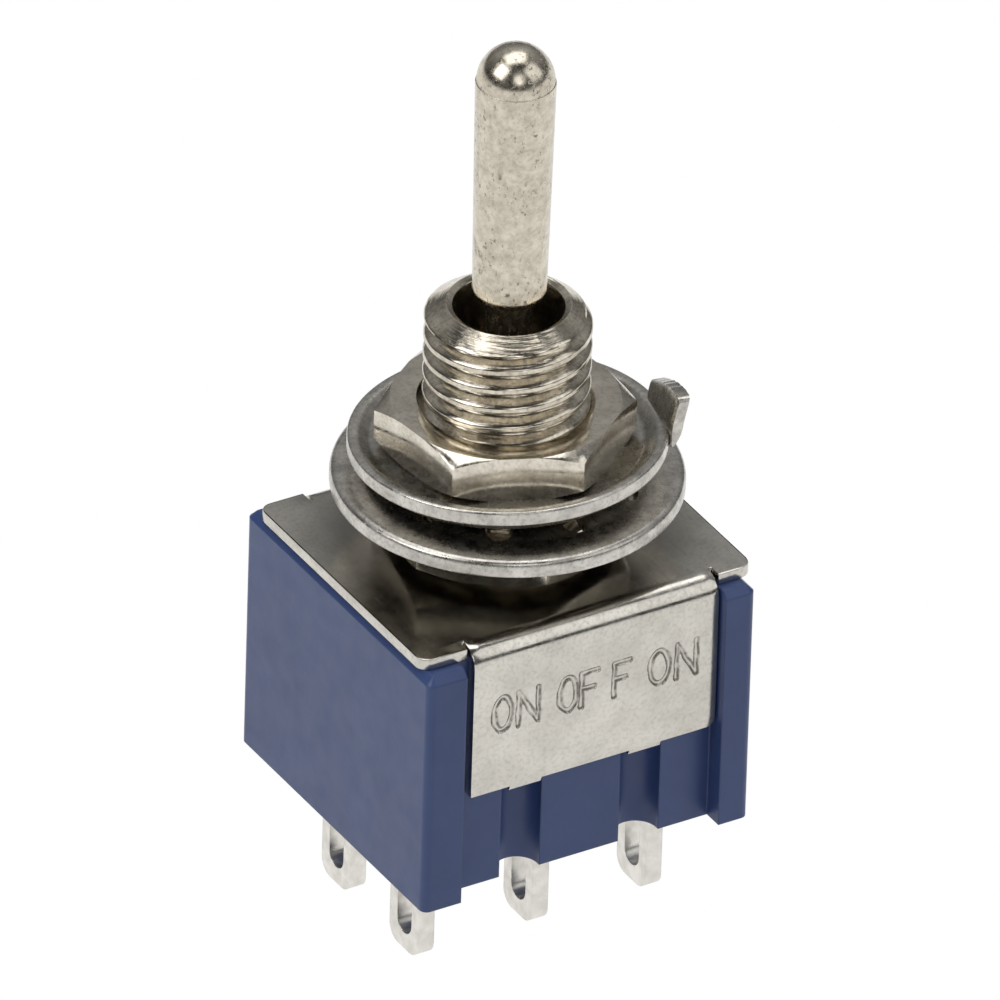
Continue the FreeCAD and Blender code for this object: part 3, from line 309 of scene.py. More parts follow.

# %% [markdown]
# All the plated metal is one family: a nickel colour, darker in blotches, a roughness
# that varies a little, and a fine grain. What a piece went through comes on top, and so does painted
# shade near the nuts.

# %% The recipe for metal
def make_metal(name, light, dark, rough, blotch_mm, grain, mottle=0.0, pits=0.0,
               scratch_mm=0.0, ring_mm=0.0, stroke_dark=0.0, painted_shade=None, round_edges_mm=0.0):
    """Rough is a middle and a spread, grain a size and a depth in millimetres."""
    material, tree, shader = new_finish(name)
    shader.inputs["Metallic"].default_value = 1.0
    blotch = ramp(tree, grain_field(tree, blotch_mm, 5.0), 0.0, 1.0, 0.35, 0.65)
    colour = blend_colours(tree, blotch, dark, light)
    uneven = grain_field(tree, blotch_mm * 0.6, 5.0)
    layers = [(grain_field(tree, grain[0], 3.0), grain[1])]
    rough = ramp(tree, uneven, rough[0] - rough[1], rough[0] + rough[1], 0.3, 0.7)
    if mottle:
        colour = speckled(tree, colour, mottle)
    if pits:
        colour, rough, layer = pitted(tree, colour, rough, pits)
        layers.append(layer)
    if scratch_mm:
        layers += [(scratches(tree, turn), scratch_mm) for turn in SCRATCH_TURNS]
    if ring_mm:
        layers.append((turned_rings(tree), ring_mm))
    if stroke_dark:
        colour, rough = darken_strokes(tree, colour, rough, stroke_dark)
    # Painted shade near the nuts, darker towards the axis.
    if painted_shade:
        colour = shaded_round_axis(tree, colour, *painted_shade)
    tree.links.new(colour, shader.inputs["Base Color"])
    tree.links.new(rough, shader.inputs["Roughness"])
    add_relief(tree, shader, layers, round_edges_mm)
    return material


print("metal recipe ready")

# %% [markdown]
# The lever is satin and pitted. The barrel and the nuts are turned brass under bright
# nickel, and the barrel shows its rings.

# %% Turned metals
NICKEL, NICKEL_SHADE = (0.70, 0.645, 0.54), (0.54, 0.49, 0.40)
BARREL, BARREL_SHADE = (0.74, 0.68, 0.57), (0.54, 0.49, 0.40)
NUT, NUT_SHADE = (0.76, 0.71, 0.62), (0.62, 0.575, 0.49)
lever_metal = make_metal("lever_nickel", NICKEL, NICKEL_SHADE, (0.24, 0.07), 0.45,
                         (0.05, 0.0015), mottle=0.22, pits=0.9)
barrel_metal = make_metal("barrel_nickel", BARREL, BARREL_SHADE, (0.17, 0.06), 0.7,
                          (0.04, 0.0012), mottle=0.32, ring_mm=0.010)
nut_metal = make_metal("nut_nickel", NUT, NUT_SHADE, (0.15, 0.06), 0.9,
                       (0.05, 0.0014), mottle=0.22, scratch_mm=0.0012)
print("turned metals:", lever_metal.name, barrel_metal.name, nut_metal.name)

# %% [markdown]
# The cover is bright sheet with scratches, and the stamped washers are rougher. Both
# have shade painted on them near the nuts. The lugs are dipped in tin, which is paler and duller
# than nickel and leaves soft edges.

# %% Sheet, washer and lug metals
SHEET_NICKEL, SHEET_SHADE = (0.66, 0.635, 0.58), (0.56, 0.537, 0.485)
STEEL, STEEL_SHADE = (0.66, 0.635, 0.585), (0.47, 0.45, 0.413)
TIN, TIN_SHADE = (0.80, 0.775, 0.725), (0.66, 0.64, 0.59)
# Painted shade round the axis: its darkness, then the radii in mm inside which it is full and outside
# which it is gone.
SHEET_AXIS_SHADE = (0.72, 5.6, 7.8)
WASHER_AXIS_SHADE = (0.5, 4.3, 5.3)
sheet_metal = make_metal("cover_nickel", SHEET_NICKEL, SHEET_SHADE, (0.19, 0.06), 1.3,
                         (0.12, 0.0014), mottle=0.18, scratch_mm=0.0016, stroke_dark=0.9, painted_shade=SHEET_AXIS_SHADE)
washer_metal = make_metal("washer_steel", STEEL, STEEL_SHADE, (0.28, 0.07), 0.7,
                          (0.05, 0.0040), mottle=0.32, scratch_mm=0.0015, painted_shade=WASHER_AXIS_SHADE)
lug_metal = make_metal("tinned_lug", TIN, TIN_SHADE, (0.34, 0.08), 0.5,
                       (0.07, 0.003), round_edges_mm=0.06)
print("sheet metals:", sheet_metal.name, washer_metal.name, lug_metal.name)

# %% [markdown]
# Inside the case are plain strip, silver and spring wire. They show only when the case
# is taken away, so they use the same recipe without its extras.

# %% Contact metals
contact_brass = make_metal("contact_brass", (0.83, 0.66, 0.38), (0.70, 0.52, 0.28),
                           (0.28, 0.06), 0.8, (0.06, 0.002))
contact_silver = make_metal("contact_silver", (0.88, 0.87, 0.84), (0.74, 0.73, 0.70),
                            (0.24, 0.05), 0.5, (0.05, 0.002))
spring_wire = make_metal("spring_wire", (0.50, 0.50, 0.51), (0.38, 0.38, 0.40),
                         (0.22, 0.05), 0.3, (0.04, 0.001))
print("contact metals:", contact_brass.name, contact_silver.name, spring_wire.name)

# %% [markdown]
# The case is a deep blue moulding with a satin skin that mirrors the surroundings at a
# grazing angle, broken up by a fine relief. The actuator inside is off-white nylon.

# %% Moulded plastics
def make_plastic(name, light, dark, roughness, grain_mm, grain_depth_mm, round_edges_mm):
    material, tree, shader = new_finish(name)
    blotch = ramp(tree, grain_field(tree, 2.5, 5.0), 0.0, 1.0, 0.3, 0.7)
    tree.links.new(blend_colours(tree, blotch, dark, light), shader.inputs["Base Color"])
    uneven = grain_field(tree, 0.8, 4.0)
    rough = ramp(tree, uneven, roughness - 0.05, roughness + 0.05, 0.3, 0.7)
    tree.links.new(rough, shader.inputs["Roughness"])
    add_relief(tree, shader, [(grain_field(tree, grain_mm, 4.0), grain_depth_mm)], round_edges_mm)
    return material


case_plastic = make_plastic("case_blue", (0.036, 0.068, 0.195), (0.030, 0.057, 0.170),
                            roughness=0.38, grain_mm=0.09, grain_depth_mm=0.003,
                            round_edges_mm=0.10)
nylon = make_plastic("actuator_nylon", (0.74, 0.72, 0.66), (0.68, 0.66, 0.60),
                     roughness=0.45, grain_mm=0.2, grain_depth_mm=0.003,
                     round_edges_mm=0.08)
print("plastics:", case_plastic.name, nylon.name)

# %% [markdown]
# Pieces that are right as CAD keep their mesh and only get a finish: the case, the
# lugs, and all that is inside. Each node is dressed by what its name starts with.

# %% Dress the CAD nodes
FINISH_BY_NAME = {
    "housing": case_plastic,
    "actuator": nylon,
    "fixed_contacts": contact_silver,
    "moving_contacts_": contact_silver,
    "terminal_": lug_metal,
    "rocker_": contact_brass,
    "plunger_": contact_brass,
    "spring_": spring_wire,
}
dressed = 0
for node_name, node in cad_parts.items():
    for start, material in FINISH_BY_NAME.items():
        if node_name.startswith(start):
            for material_slot in node.material_slots:
                material_slot.material = material
            dressed += 1
print("dressed", dressed, "nodes")

# %% [markdown]
# The other pieces are drawn anew in millimetres, in a bmesh. This helper scales the
# shape once, gives it soft shading with crisp edges, and ties it to the body that it
# moves with, in place of its CAD node.

# %% Helper that finishes a piece
CRISP_DEGREES = 32.0


def shade_softly(mesh, crisp_degrees=CRISP_DEGREES):
    for polygon in mesh.polygons:
        polygon.use_smooth = True
    mesh.set_sharp_from_angle(angle=math.radians(crisp_degrees))


def make_piece(name, shape, body, node_name, material, crisp_degrees=CRISP_DEGREES):
    bmesh.ops.scale(shape, vec=(MM, MM, MM), verts=shape.verts)
    bmesh.ops.recalc_face_normals(shape, faces=shape.faces)
    mesh = bpy.data.meshes.new(name)
    shape.to_mesh(mesh)
    shape.free()
    shade_softly(mesh, crisp_degrees)
    mesh.materials.append(material)
    piece = bpy.data.objects.new(name, mesh)
    scene.collection.objects.link(piece)
    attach(piece, body)
    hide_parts(node_name)
    print(f"{name}: {len(mesh.polygons)} faces")
    return piece


def new_verts(result):
    """The vertices among what an extrusion made."""
    return [item for item in result["geom"] if isinstance(item, bmesh.types.BMVert)]


print("crisp edges from degrees:", CRISP_DEGREES)


# %% [markdown]
# Most of this object is turned, and Blender's spin is a lathe. It needs half an
# outline, as pairs of radius and height. Real edges are never knife sharp, so soften
# swaps each corner of the outline for a small arc.

# %% Helpers for turned shapes
WELD = 1e-4


def soften(points, radius, steps=3, closed=False):
    """The same outline with each corner replaced by a small arc."""
    count = len(points)
    result = []
    for i, point in enumerate(points):
        corner = Vector(point)
        if not closed and i in (0, count - 1):
            result.append(corner)
            continue
        before = Vector(points[i - 1]) - corner
        after = Vector(points[(i + 1) % count]) - corner
        reach = min(radius, before.length * 0.45, after.length * 0.45)
        first = corner + before.normalized() * reach
        last = corner + after.normalized() * reach
        for step in range(steps + 1):
            t = step / steps
            result.append(first * (1 - t) ** 2 + corner * 2 * t * (1 - t) + last * t ** 2)
    return result


def arc_points(centre, radius, start_degrees, end_degrees, steps):
    angles = [math.radians(start_degrees + (end_degrees - start_degrees) * i / steps)
              for i in range(steps + 1)]
    return [(centre[0] + radius * math.cos(a), centre[1] + radius * math.sin(a)) for a in angles]


def lathe(points, segments=160, closed=True, shape=None):
    """Spins an outline of (radius, height) points once round the Z axis."""
    shape = shape or bmesh.new()
    verts = [shape.verts.new((p[0], 0.0, p[1])) for p in points]
    pairs = list(zip(verts, verts[1:]))
    if closed:
        pairs.append((verts[-1], verts[0]))
    edges = [shape.edges.new(pair) for pair in pairs]
    bmesh.ops.spin(shape, geom=verts + edges, cent=(0, 0, 0), axis=(0, 0, 1),
                   angle=2 * math.pi, steps=segments, use_merge=True)
    bmesh.ops.remove_doubles(shape, verts=shape.verts, dist=WELD)
    return shape


print("points nearer than this are welded, mm:", WELD)

# %% [markdown]
# The bat lever is turned, so its outline is spun. The thick part swells slightly
# towards the top and ends in a polished dome with a tiny step round it. The ball and
# the thin spindle below are hidden, but they belong to the same piece and go with it.

# %% Lever
PIVOT_Z = 5.0
BALL_RADIUS = 1.95
NECK_RADIUS = 0.8
SPINDLE_RADIUS = 0.75
SPINDLE_BOTTOM = -4.6
BAT_BOTTOM = 10.05
BAT_RADIUS = 1.325
BAT_ROUND = 0.45
LEVER_TOP = 20.4
DOME_RADIUS = 1.4
dome_z = LEVER_TOP - DOME_RADIUS
ball_low = math.degrees(math.acos(SPINDLE_RADIUS / BALL_RADIUS))
ball_high = math.degrees(math.acos(NECK_RADIUS / BALL_RADIUS))

lever_outline = [(0.0, SPINDLE_BOTTOM), (SPINDLE_RADIUS - 0.1, SPINDLE_BOTTOM),
                 (SPINDLE_RADIUS, SPINDLE_BOTTOM + 0.1)]
lever_outline += arc_points((0.0, PIVOT_Z), BALL_RADIUS, -ball_low, ball_high, 24)
lever_outline += [(NECK_RADIUS, BAT_BOTTOM)]
lever_outline += arc_points((BAT_RADIUS - BAT_ROUND, BAT_BOTTOM + BAT_ROUND), BAT_ROUND, -90, 0, 8)
lever_outline += [(1.36, 13.0), (1.40, 16.0), (1.435, dome_z - 0.18), (1.44, dome_z - 0.06),
                  (1.425, dome_z - 0.01), (DOME_RADIUS, dome_z)]
lever_outline += arc_points((0.0, dome_z), DOME_RADIUS, 3, 90, 24)
lever_outline[-1] = (0.0, LEVER_TOP)
lever_shape = lathe(lever_outline, 128, closed=False)
make_piece("lever_bat", lever_shape, "lever", "lever", lever_metal)

# %% [markdown]
# A thread could be a stack of rings, but from close by the eye sees that rings don't
# climb. Here the outline of one turn is spun many times round while it climbs by one
# pitch each turn, and neighbouring turns are welded.

# %% Thread of the bushing
PITCH = 0.79
CREST_RADIUS = 2.995
ROOT_RADIUS = 2.60
THREAD_START = -1.30
TURNS = 15
STEPS_PER_TURN = 96
PROFILE_STEPS = 18


def thread_radius(t):
    """Radius of the thread at a share t of one pitch."""
    wave = (0.5 + 0.5 * math.cos(2 * math.pi * t)) ** 0.75
    return ROOT_RADIUS + (CREST_RADIUS - ROOT_RADIUS) * min(1.0, wave * 1.12)


bushing_shape = bmesh.new()
shares = [i / PROFILE_STEPS for i in range(PROFILE_STEPS + 1)]
profile = [bushing_shape.verts.new((thread_radius(t), 0.0, THREAD_START + PITCH * t)) for t in shares]
profile_edges = [bushing_shape.edges.new(pair) for pair in zip(profile, profile[1:])]
bmesh.ops.spin(bushing_shape, geom=profile + profile_edges, cent=(0, 0, 0), axis=(0, 0, 1),
               angle=2 * math.pi * TURNS, steps=STEPS_PER_TURN * TURNS,
               dvec=(0, 0, PITCH / STEPS_PER_TURN))
bmesh.ops.remove_doubles(bushing_shape, verts=bushing_shape.verts, dist=WELD)
print("thread:", TURNS, "turns,", len(bushing_shape.faces), "faces")

# %% [markdown]
# The thread is cut off flat at both ends, and the crests near the top are turned down
# to a bevel that helps a nut to start. The inside is one outline, spun: the mouth, the
# cone that lets the lever tilt, the socket for its ball, and the flange underneath.

# %% Ends and bore of the bushing
BUSHING_TOP = 9.8
BUSHING_BOTTOM = -0.45
BEVEL_BOTTOM = 9.3
RIM_RADIUS = 2.24
SOCKET_RADIUS = 2.0
for height, outward in ((BUSHING_TOP, 1.0), (BUSHING_BOTTOM, -1.0)):
    everything = bushing_shape.verts[:] + bushing_shape.edges[:] + bushing_shape.faces[:]
    bmesh.ops.bisect_plane(bushing_shape, geom=everything, plane_co=(0, 0, height),
                           plane_no=(0, 0, outward), clear_outer=True)
for vert in bushing_shape.verts:
    across = math.hypot(vert.co.x, vert.co.y)
    share = max(0.0, (vert.co.z - BEVEL_BOTTOM) / (BUSHING_TOP - BEVEL_BOTTOM))
    allowed = CREST_RADIUS + (RIM_RADIUS - CREST_RADIUS) * share
    if across > allowed:
        vert.co.x *= allowed / across
        vert.co.y *= allowed / across

MOUTH = [(RIM_RADIUS, BUSHING_TOP), (2.215, BUSHING_TOP), (2.0, 9.68), (1.51, 6.31)]
FLANGE = [(2.25, -1.25), (3.8, -1.25), (3.8, BUSHING_BOTTOM), (2.55, BUSHING_BOTTOM)]
bore = soften(MOUTH, 0.02) + arc_points((0.0, PIVOT_Z), SOCKET_RADIUS, 40, 0, 8) + FLANGE
lathe(bore, 160, closed=False, shape=bushing_shape)
make_piece("bushing_threaded", bushing_shape, "base", "bushing",
           barrel_metal, crisp_degrees=60.0)

# %% [markdown]
# A nut starts as a round blank on the lathe. The outer rings of the blank are drawn in
# to the hexagon, and a shallow cone drops their edge wherever the hexagon reaches past
# it, which gives the curved lines of real nuts. A six-sided prism would miss them.

# %% Sizes of the nuts
NUT_FLATS = 8.1
NUT_THICKNESS = 1.77
NUT_BEVEL_RADIUS = NUT_FLATS / 2 + 0.06
NUT_BEVEL_SLOPE = math.tan(math.radians(30))
NUT_MOUTH = 3.175
NUT_BORE = 2.78
NUT_LEAD = 0.39
NUT_COLUMNS = 144
FACE_RING, SIDE_RING = 4.0, 5.0
SLIVER = 0.0005
EDGE_BREAK = 0.05


def draw_to_hexagon(vert, middle):
    across = math.hypot(vert.co.x, vert.co.y)
    if across < (NUT_MOUTH + FACE_RING) / 2:
        return
    from_flat = math.degrees(math.atan2(vert.co.y, vert.co.x)) % 60 - 30
    hexagon = NUT_FLATS / 2 / math.cos(math.radians(from_flat))
    reach = min(hexagon, NUT_BEVEL_RADIUS) - SLIVER
    if across > (FACE_RING + SIDE_RING) / 2:
        reach = hexagon
        drop = max(0.0, (hexagon - NUT_BEVEL_RADIUS) * NUT_BEVEL_SLOPE) + SLIVER
        vert.co.z += drop if vert.co.z < middle else -drop
    vert.co.x *= reach / across
    vert.co.y *= reach / across


print("nut across corners mm:", round(NUT_FLATS / math.cos(math.radians(30)), 2))

# %% [markdown]
# Both nuts are the same, turned by different angles, as they were done up by feel.
# Thin bevels along the edges catch the light.

# %% Nuts
def make_nut(name, bottom, turn_degrees, node_name):
    top = bottom + NUT_THICKNESS
    shape = lathe([(NUT_BORE, bottom + NUT_LEAD), (NUT_MOUTH, bottom), (FACE_RING, bottom),
                   (SIDE_RING, bottom), (SIDE_RING, top), (FACE_RING, top), (NUT_MOUTH, top),
                   (NUT_BORE, top - NUT_LEAD)], NUT_COLUMNS)
    for vert in shape.verts:
        draw_to_hexagon(vert, (bottom + top) / 2)
    bmesh.ops.rotate(shape, cent=(0, 0, 0), verts=shape.verts,
                     matrix=Matrix.Rotation(math.radians(turn_degrees), 3, "Z"))
    bmesh.ops.recalc_face_normals(shape, faces=shape.faces)
    sharp = [e for e in shape.edges
             if len(e.link_faces) == 2 and e.calc_face_angle(0.0) > math.radians(22)]
    bmesh.ops.bevel(shape, geom=sharp, offset=EDGE_BREAK, segments=2, profile=0.5,
                    affect="EDGES", clamp_overlap=True, material=-1)
    make_piece(name, shape, "base", node_name, nut_metal, 30.0)


make_nut("nut_lower", 0.5, 19.0, "lower_nut")
make_nut("nut_upper", 4.05, 36.0, "upper_nut")

# %% [markdown]
# Some openings are easiest to cut, as a punch does. This subtracts a closed shape and
# applies the cut at once, so that the piece stays a plain mesh.

# %% Helper that cuts
def cut_away(piece, cutter_shape):
    bmesh.ops.scale(cutter_shape, vec=(MM, MM, MM), verts=cutter_shape.verts)
    bmesh.ops.recalc_face_normals(cutter_shape, faces=cutter_shape.faces)
    mesh = bpy.data.meshes.new("cutter")
    cutter_shape.to_mesh(mesh)
    cutter_shape.free()
    cutter = bpy.data.objects.new("cutter", mesh)
    scene.collection.objects.link(cutter)
    modifier = piece.modifiers.new("cut", "BOOLEAN")
    modifier.operation = "DIFFERENCE"
    modifier.solver = "EXACT"
    modifier.object = cutter
    view = bpy.context.evaluated_depsgraph_get()
    result = bpy.data.meshes.new_from_object(piece.evaluated_get(view))
    piece.modifiers.clear()
    old = piece.data
    piece.data = result
    bpy.data.meshes.remove(old)
    bpy.data.objects.remove(cutter)
    bpy.data.meshes.remove(mesh)
    shade_softly(piece.data)
    print(f"{piece.name}: {len(piece.data.polygons)} faces after the cut")


# %% [markdown]
# The lock washer is a thick ring with ten teeth that rise inwards and bite the nut. The
# ring is spun with its cone of teeth whole, and the gaps between the teeth are cut by
# round-ended bars. It has a little play on the thread and sits off the axis by it.

# %% Lock washer
LOCK_BOTTOM = 2.27
LOCK_TOP = 2.95
LOCK_RADIUS = 6.32
TOOTH_ROOT = 4.95
TOOTH_TIP = 3.15
TOOTH_TOP = 3.40
LOCK_PLAY = Vector((0.12, -0.07, 0.0))
lock_outline = soften([
    (TOOTH_ROOT - 0.25, LOCK_BOTTOM), (LOCK_RADIUS, LOCK_BOTTOM),
    (LOCK_RADIUS, LOCK_TOP - 0.24), (LOCK_RADIUS - 0.05, LOCK_TOP - 0.10),
    (LOCK_RADIUS - 0.19, LOCK_TOP - 0.02), (LOCK_RADIUS - 0.44, LOCK_TOP),
    (TOOTH_ROOT, LOCK_TOP), (TOOTH_TIP, TOOTH_TOP), (TOOTH_TIP, TOOTH_TOP - 0.5),
], 0.12, steps=4, closed=True)
lock_shape = lathe(lock_outline, 200)
bmesh.ops.translate(lock_shape, vec=LOCK_PLAY, verts=lock_shape.verts)
lock_washer = make_piece("washer_lock", lock_shape, "base", "lock_washer",
                         washer_metal)

# %% [markdown]
# Each gap is the same bar, turned round the axis: a flat outline with a round end,
# extruded upwards through the ring.

# %% Gaps between the teeth
TOOTH_GAP = 0.95
TOOTH_COUNT = 10
LOCK_TURN = 19.5
BAR_START = 2.2
BAR_BOTTOM, BAR_HEIGHT = 1.6, 2.4
half = TOOTH_GAP / 2
bar_outline = [(BAR_START, -half)]
bar_outline += arc_points((TOOTH_ROOT - half, 0.0), half, -90, 90, 10)
bar_outline += [(BAR_START, half)]
gaps = bmesh.new()
for i in range(TOOTH_COUNT):
    turn = Matrix.Rotation(math.radians(LOCK_TURN + 360 / TOOTH_COUNT * i), 3, "Z")
    ring = [gaps.verts.new(turn @ Vector((x, y, BAR_BOTTOM))) for x, y in bar_outline]
    lifted = bmesh.ops.extrude_face_region(gaps, geom=[gaps.faces.new(ring)])
    bmesh.ops.translate(gaps, vec=(0, 0, BAR_HEIGHT), verts=new_verts(lifted))
bmesh.ops.translate(gaps, vec=LOCK_PLAY, verts=gaps.verts)
cut_away(lock_washer, gaps)

# %% [markdown]
# The locating washer keeps the switch from turning in its panel. It is dished, with a
# flat raised rim, so its outline steps up once and is spun. The tab is then grown in
# the same mesh, as the real one is sheared from this rim.

# %% Dish of the locating washer
DISH_BORE = 3.1
DISH_BOTTOM = 3.40
DISH_TOP = 4.05
RIM_BOTTOM = 3.87
RIM_TOP = 4.45
WASHER_RADIUS = 5.70
dish_outline = soften([
    (DISH_BORE, DISH_BOTTOM), (5.10, DISH_BOTTOM), (5.45, RIM_BOTTOM),
    (WASHER_RADIUS, RIM_BOTTOM), (WASHER_RADIUS, RIM_TOP), (5.32, RIM_TOP),
    (4.86, DISH_TOP), (DISH_BORE, DISH_TOP),
], 0.12, steps=5, closed=True)
dish_shape = lathe(dish_outline, 200)
print("dish:", len(dish_shape.faces), "faces")

# %% [markdown]
# The tab is bent up from the rim and drops in a small hole of the panel. Its crown
# falls away to one side, as a shear leaves it, and its broken edges are a little
# ragged. One section is a closed loop, up the inner face and down the outer one.

# %% One section of the tab
TAB_FRONT, TAB_REAR = -2.15, 0.63
TAB_ROOT, TAB_BASE = 3.95, 4.70
TAB_FOOT = 5.34
TAB_THICKNESS = 0.5
TAB_LEAN = math.tan(math.radians(12))
TAB_CROWN = [(TAB_FRONT, 1.03), (-2.06, 1.14), (-1.93, 1.19), (-1.60, 1.18), (-1.20, 1.13),
             (-0.76, 1.03), (-0.30, 0.88), (0.10, 0.72), (0.40, 0.58), (0.55, 0.49),
             (TAB_REAR, 0.36)]
TAB_LEVELS = [0.0, 0.06, 0.14, 0.24, 0.36, 0.50, 0.64, 0.76, 0.86, 0.93, 0.975, 1.0]


def ragged(x, y, z, size):
    """A small uneven shift, as a shear leaves on a broken edge."""
    spot = Vector((x, y, z))
    return size * (noise.noise(spot * 3.1) + 0.6 * noise.noise(spot * 8.3))


def tab_section(y):
    height = float(np.interp(y, *zip(*TAB_CROWN)))
    thin = 0.06 * max(0.0, 1 - min(y - TAB_FRONT, TAB_REAR - y) / 0.10)
    loop = []
    for layer, levels in enumerate((TAB_LEVELS, TAB_LEVELS[::-1])):
        for level in levels:
            z = TAB_ROOT + (TAB_BASE + height - TAB_ROOT) * level
            x = TAB_FOOT + max(0.0, z - TAB_BASE) * TAB_LEAN + TAB_THICKNESS * layer
            x -= max(0.0, TAB_BASE - z) ** 2 * 0.55 * layer
            crown = max(0.0, level - 0.86) / 0.14
            x += (-1 if layer else 1) * (thin + 0.035 * crown ** 2)
            z += ragged(x * 2, y, 7.0 + layer, 0.008 + 0.014 * crown) * (0.3 + crown)
            x += ragged(x, y * 0.6, z * 0.9 + 3.0 * layer, 0.010)
            loop.append(Vector((x, y, z)))
    return loop


print("points round one section:", len(tab_section(0.0)))

# %% [markdown]
# The first section's edges are extruded from place to place along the tab, and the new
# points go to the next section. Both ends are closed by bridging inner to outer side.

# %% Tab of the locating washer
TAB_COLUMNS = 57
TAB_TURN = math.radians(-13.0)


def extrude_loop(shape, loop, points):
    """Extrudes a closed loop of vertices and sets the new ones on the given points."""
    place_of = {vert.co.to_tuple(): i for i, vert in enumerate(loop)}
    edges = [shape.edges.get(pair) for pair in zip(loop, loop[1:] + loop[:1])]
    grown = bmesh.ops.extrude_edge_only(shape, edges=edges)
    following = sorted(new_verts(grown), key=lambda vert: place_of[vert.co.to_tuple()])
    for vert, point in zip(following, points):
        vert.co = point
    return following


tab_places = np.linspace(TAB_FRONT, TAB_REAR, TAB_COLUMNS)
first_loop = [dish_shape.verts.new(point) for point in tab_section(tab_places[0])]
for pair in zip(first_loop, first_loop[1:] + first_loop[:1]):
    dish_shape.edges.new(pair)
tab_loops = [first_loop]
for y in tab_places[1:]:
    tab_loops.append(extrude_loop(dish_shape, tab_loops[-1], tab_section(y)))
for loop in (tab_loops[0], tab_loops[-1]):
    inner_side, outer_side = loop[:len(TAB_LEVELS)], loop[len(TAB_LEVELS):]
    chains = list(zip(inner_side, inner_side[1:])) + list(zip(outer_side, outer_side[1:]))
    bmesh.ops.bridge_loops(dish_shape, edges=[dish_shape.edges.get(pair) for pair in chains])
tab_verts = [vert for loop in tab_loops for vert in loop]
bmesh.ops.rotate(dish_shape, cent=(0, 0, 0), verts=tab_verts, matrix=Matrix.Rotation(TAB_TURN, 3, "Z"))
print("dish with its tab:", len(dish_shape.faces), "faces")

# %% [markdown]
# A thin washer clamped near its middle never lies quite flat. The rim is tilted by a
# small angle that fades out towards the nut, and the washer sits off the axis by its
# play on the thread.

# %% Tilt and play of the locating washer
RIM_TILT = math.radians(2.7)
HIGH_SIDE = Vector((0.384, -0.923, 0.0))
TILT_STARTS, TILT_FULL = 4.3, 5.1
DISH_PLAY = Vector((0.09, -0.05, 0.0))
for vert in dish_shape.verts:
    across = math.hypot(vert.co.x, vert.co.y)
    share = min(1.0, max(0.0, (across - TILT_STARTS) / (TILT_FULL - TILT_STARTS)))
    vert.co.z += math.tan(RIM_TILT) * vert.co.dot(HIGH_SIDE) * share
bmesh.ops.translate(dish_shape, vec=DISH_PLAY, verts=dish_shape.verts)
make_piece("washer_locating", dish_shape, "base", "locating_washer",
           washer_metal)

# %% [markdown]
# The marks on the front skirt say ON, OFF and ON, one for each place of the lever. They
# are struck in with a punch. Here a letter is a few straight lines in a unit square,
# set at its place on the skirt, as unevenly as on the real cover.

# %% Strokes of the letters
LETTER_TOP, LETTER_BOTTOM = -2.25, -3.62
LETTERS = [("O", -3.80, -3.09), ("N", -2.79, -1.99), ("O", -1.12, -0.42), ("F", -0.22, 0.45),
           ("F", 1.12, 1.76), ("O", 2.60, 3.38), ("N", 3.70, 4.50)]
O_CORNERS = 24


def letter_strokes(letter):
    """Centre lines of a letter in a unit square."""
    if letter == "O":
        angles = np.linspace(0, 2 * math.pi, O_CORNERS + 1)
        ring = [(0.5 + 0.5 * math.sin(a), 0.5 + 0.5 * math.cos(a)) for a in angles]
        return list(zip(ring, ring[1:]))
    if letter == "N":
        return [((0, 0), (0, 1)), ((0, 1), (1, 0)), ((1, 0), (1, 1))]
    return [((0, 0), (0, 1)), ((0, 1), (1, 1)), ((0, 0.52), (0.8, 0.52))]


strokes = np.array([
    [(left + (far - left) * x, LETTER_BOTTOM + (LETTER_TOP - LETTER_BOTTOM) * y) for x, y in stroke]
    for letter, left, far in LETTERS for stroke in letter_strokes(letter)
])
print("strokes:", len(strokes))

# %% [markdown]
# The stamp turns the distance from the nearest stroke into a depth: a flat bottom, a
# soft side, and a low lip where metal was pushed out. Noise makes the strokes wander.

# %% The stamp
STROKE_HALF = 0.075
STROKE_SIDE = 0.05
STROKE_DEPTH = 0.05
STROKE_WANDER = 0.05
LIP_HEIGHT = 0.010


def wandering(x, z, slice_y, scale):
    return np.array([noise.noise(Vector((a * scale, slice_y, b * scale))) for a, b in zip(x, z)])


def stamp(x, z):
    """Press-in depth, and how much a stroke's side is at hand, at points (x, z)."""
    wobble, uneven = wandering(x, z, 0.0, 2.6), wandering(x, z, 9.0, 1.7)
    point = np.stack([x + STROKE_WANDER * wobble, z + STROKE_WANDER * uneven], axis=-1)[:, None, :]
    start, run = strokes[None, :, 0], strokes[None, :, 1] - strokes[None, :, 0]
    share = np.clip(((point - start) * run).sum(-1) / (run * run).sum(-1), 0, 1)
    away = np.linalg.norm(point - start - share[..., None] * run, axis=-1).min(axis=1)
    half_width = STROKE_HALF * (1.0 + 0.35 * uneven)
    press = STROKE_DEPTH * np.clip((half_width + STROKE_SIDE - away) / STROKE_SIDE, 0.0, 1.0)
    lip = np.exp(-((away - half_width - STROKE_SIDE * 1.6) / STROKE_SIDE) ** 2)
    side = np.exp(-((away - half_width) / STROKE_SIDE) ** 2)
    return press - LIP_HEIGHT * lip, side


print("stroke width mm:", 2 * STROKE_HALF)

# %% [markdown]
# The cover is folded from one sheet: a flat top with rounded corners, and a narrower
# skirt bent down at the front and at the back, with a slot at each end of a fold so
# that the sheet can bend. The fold is rounder than in the CAD sheet.

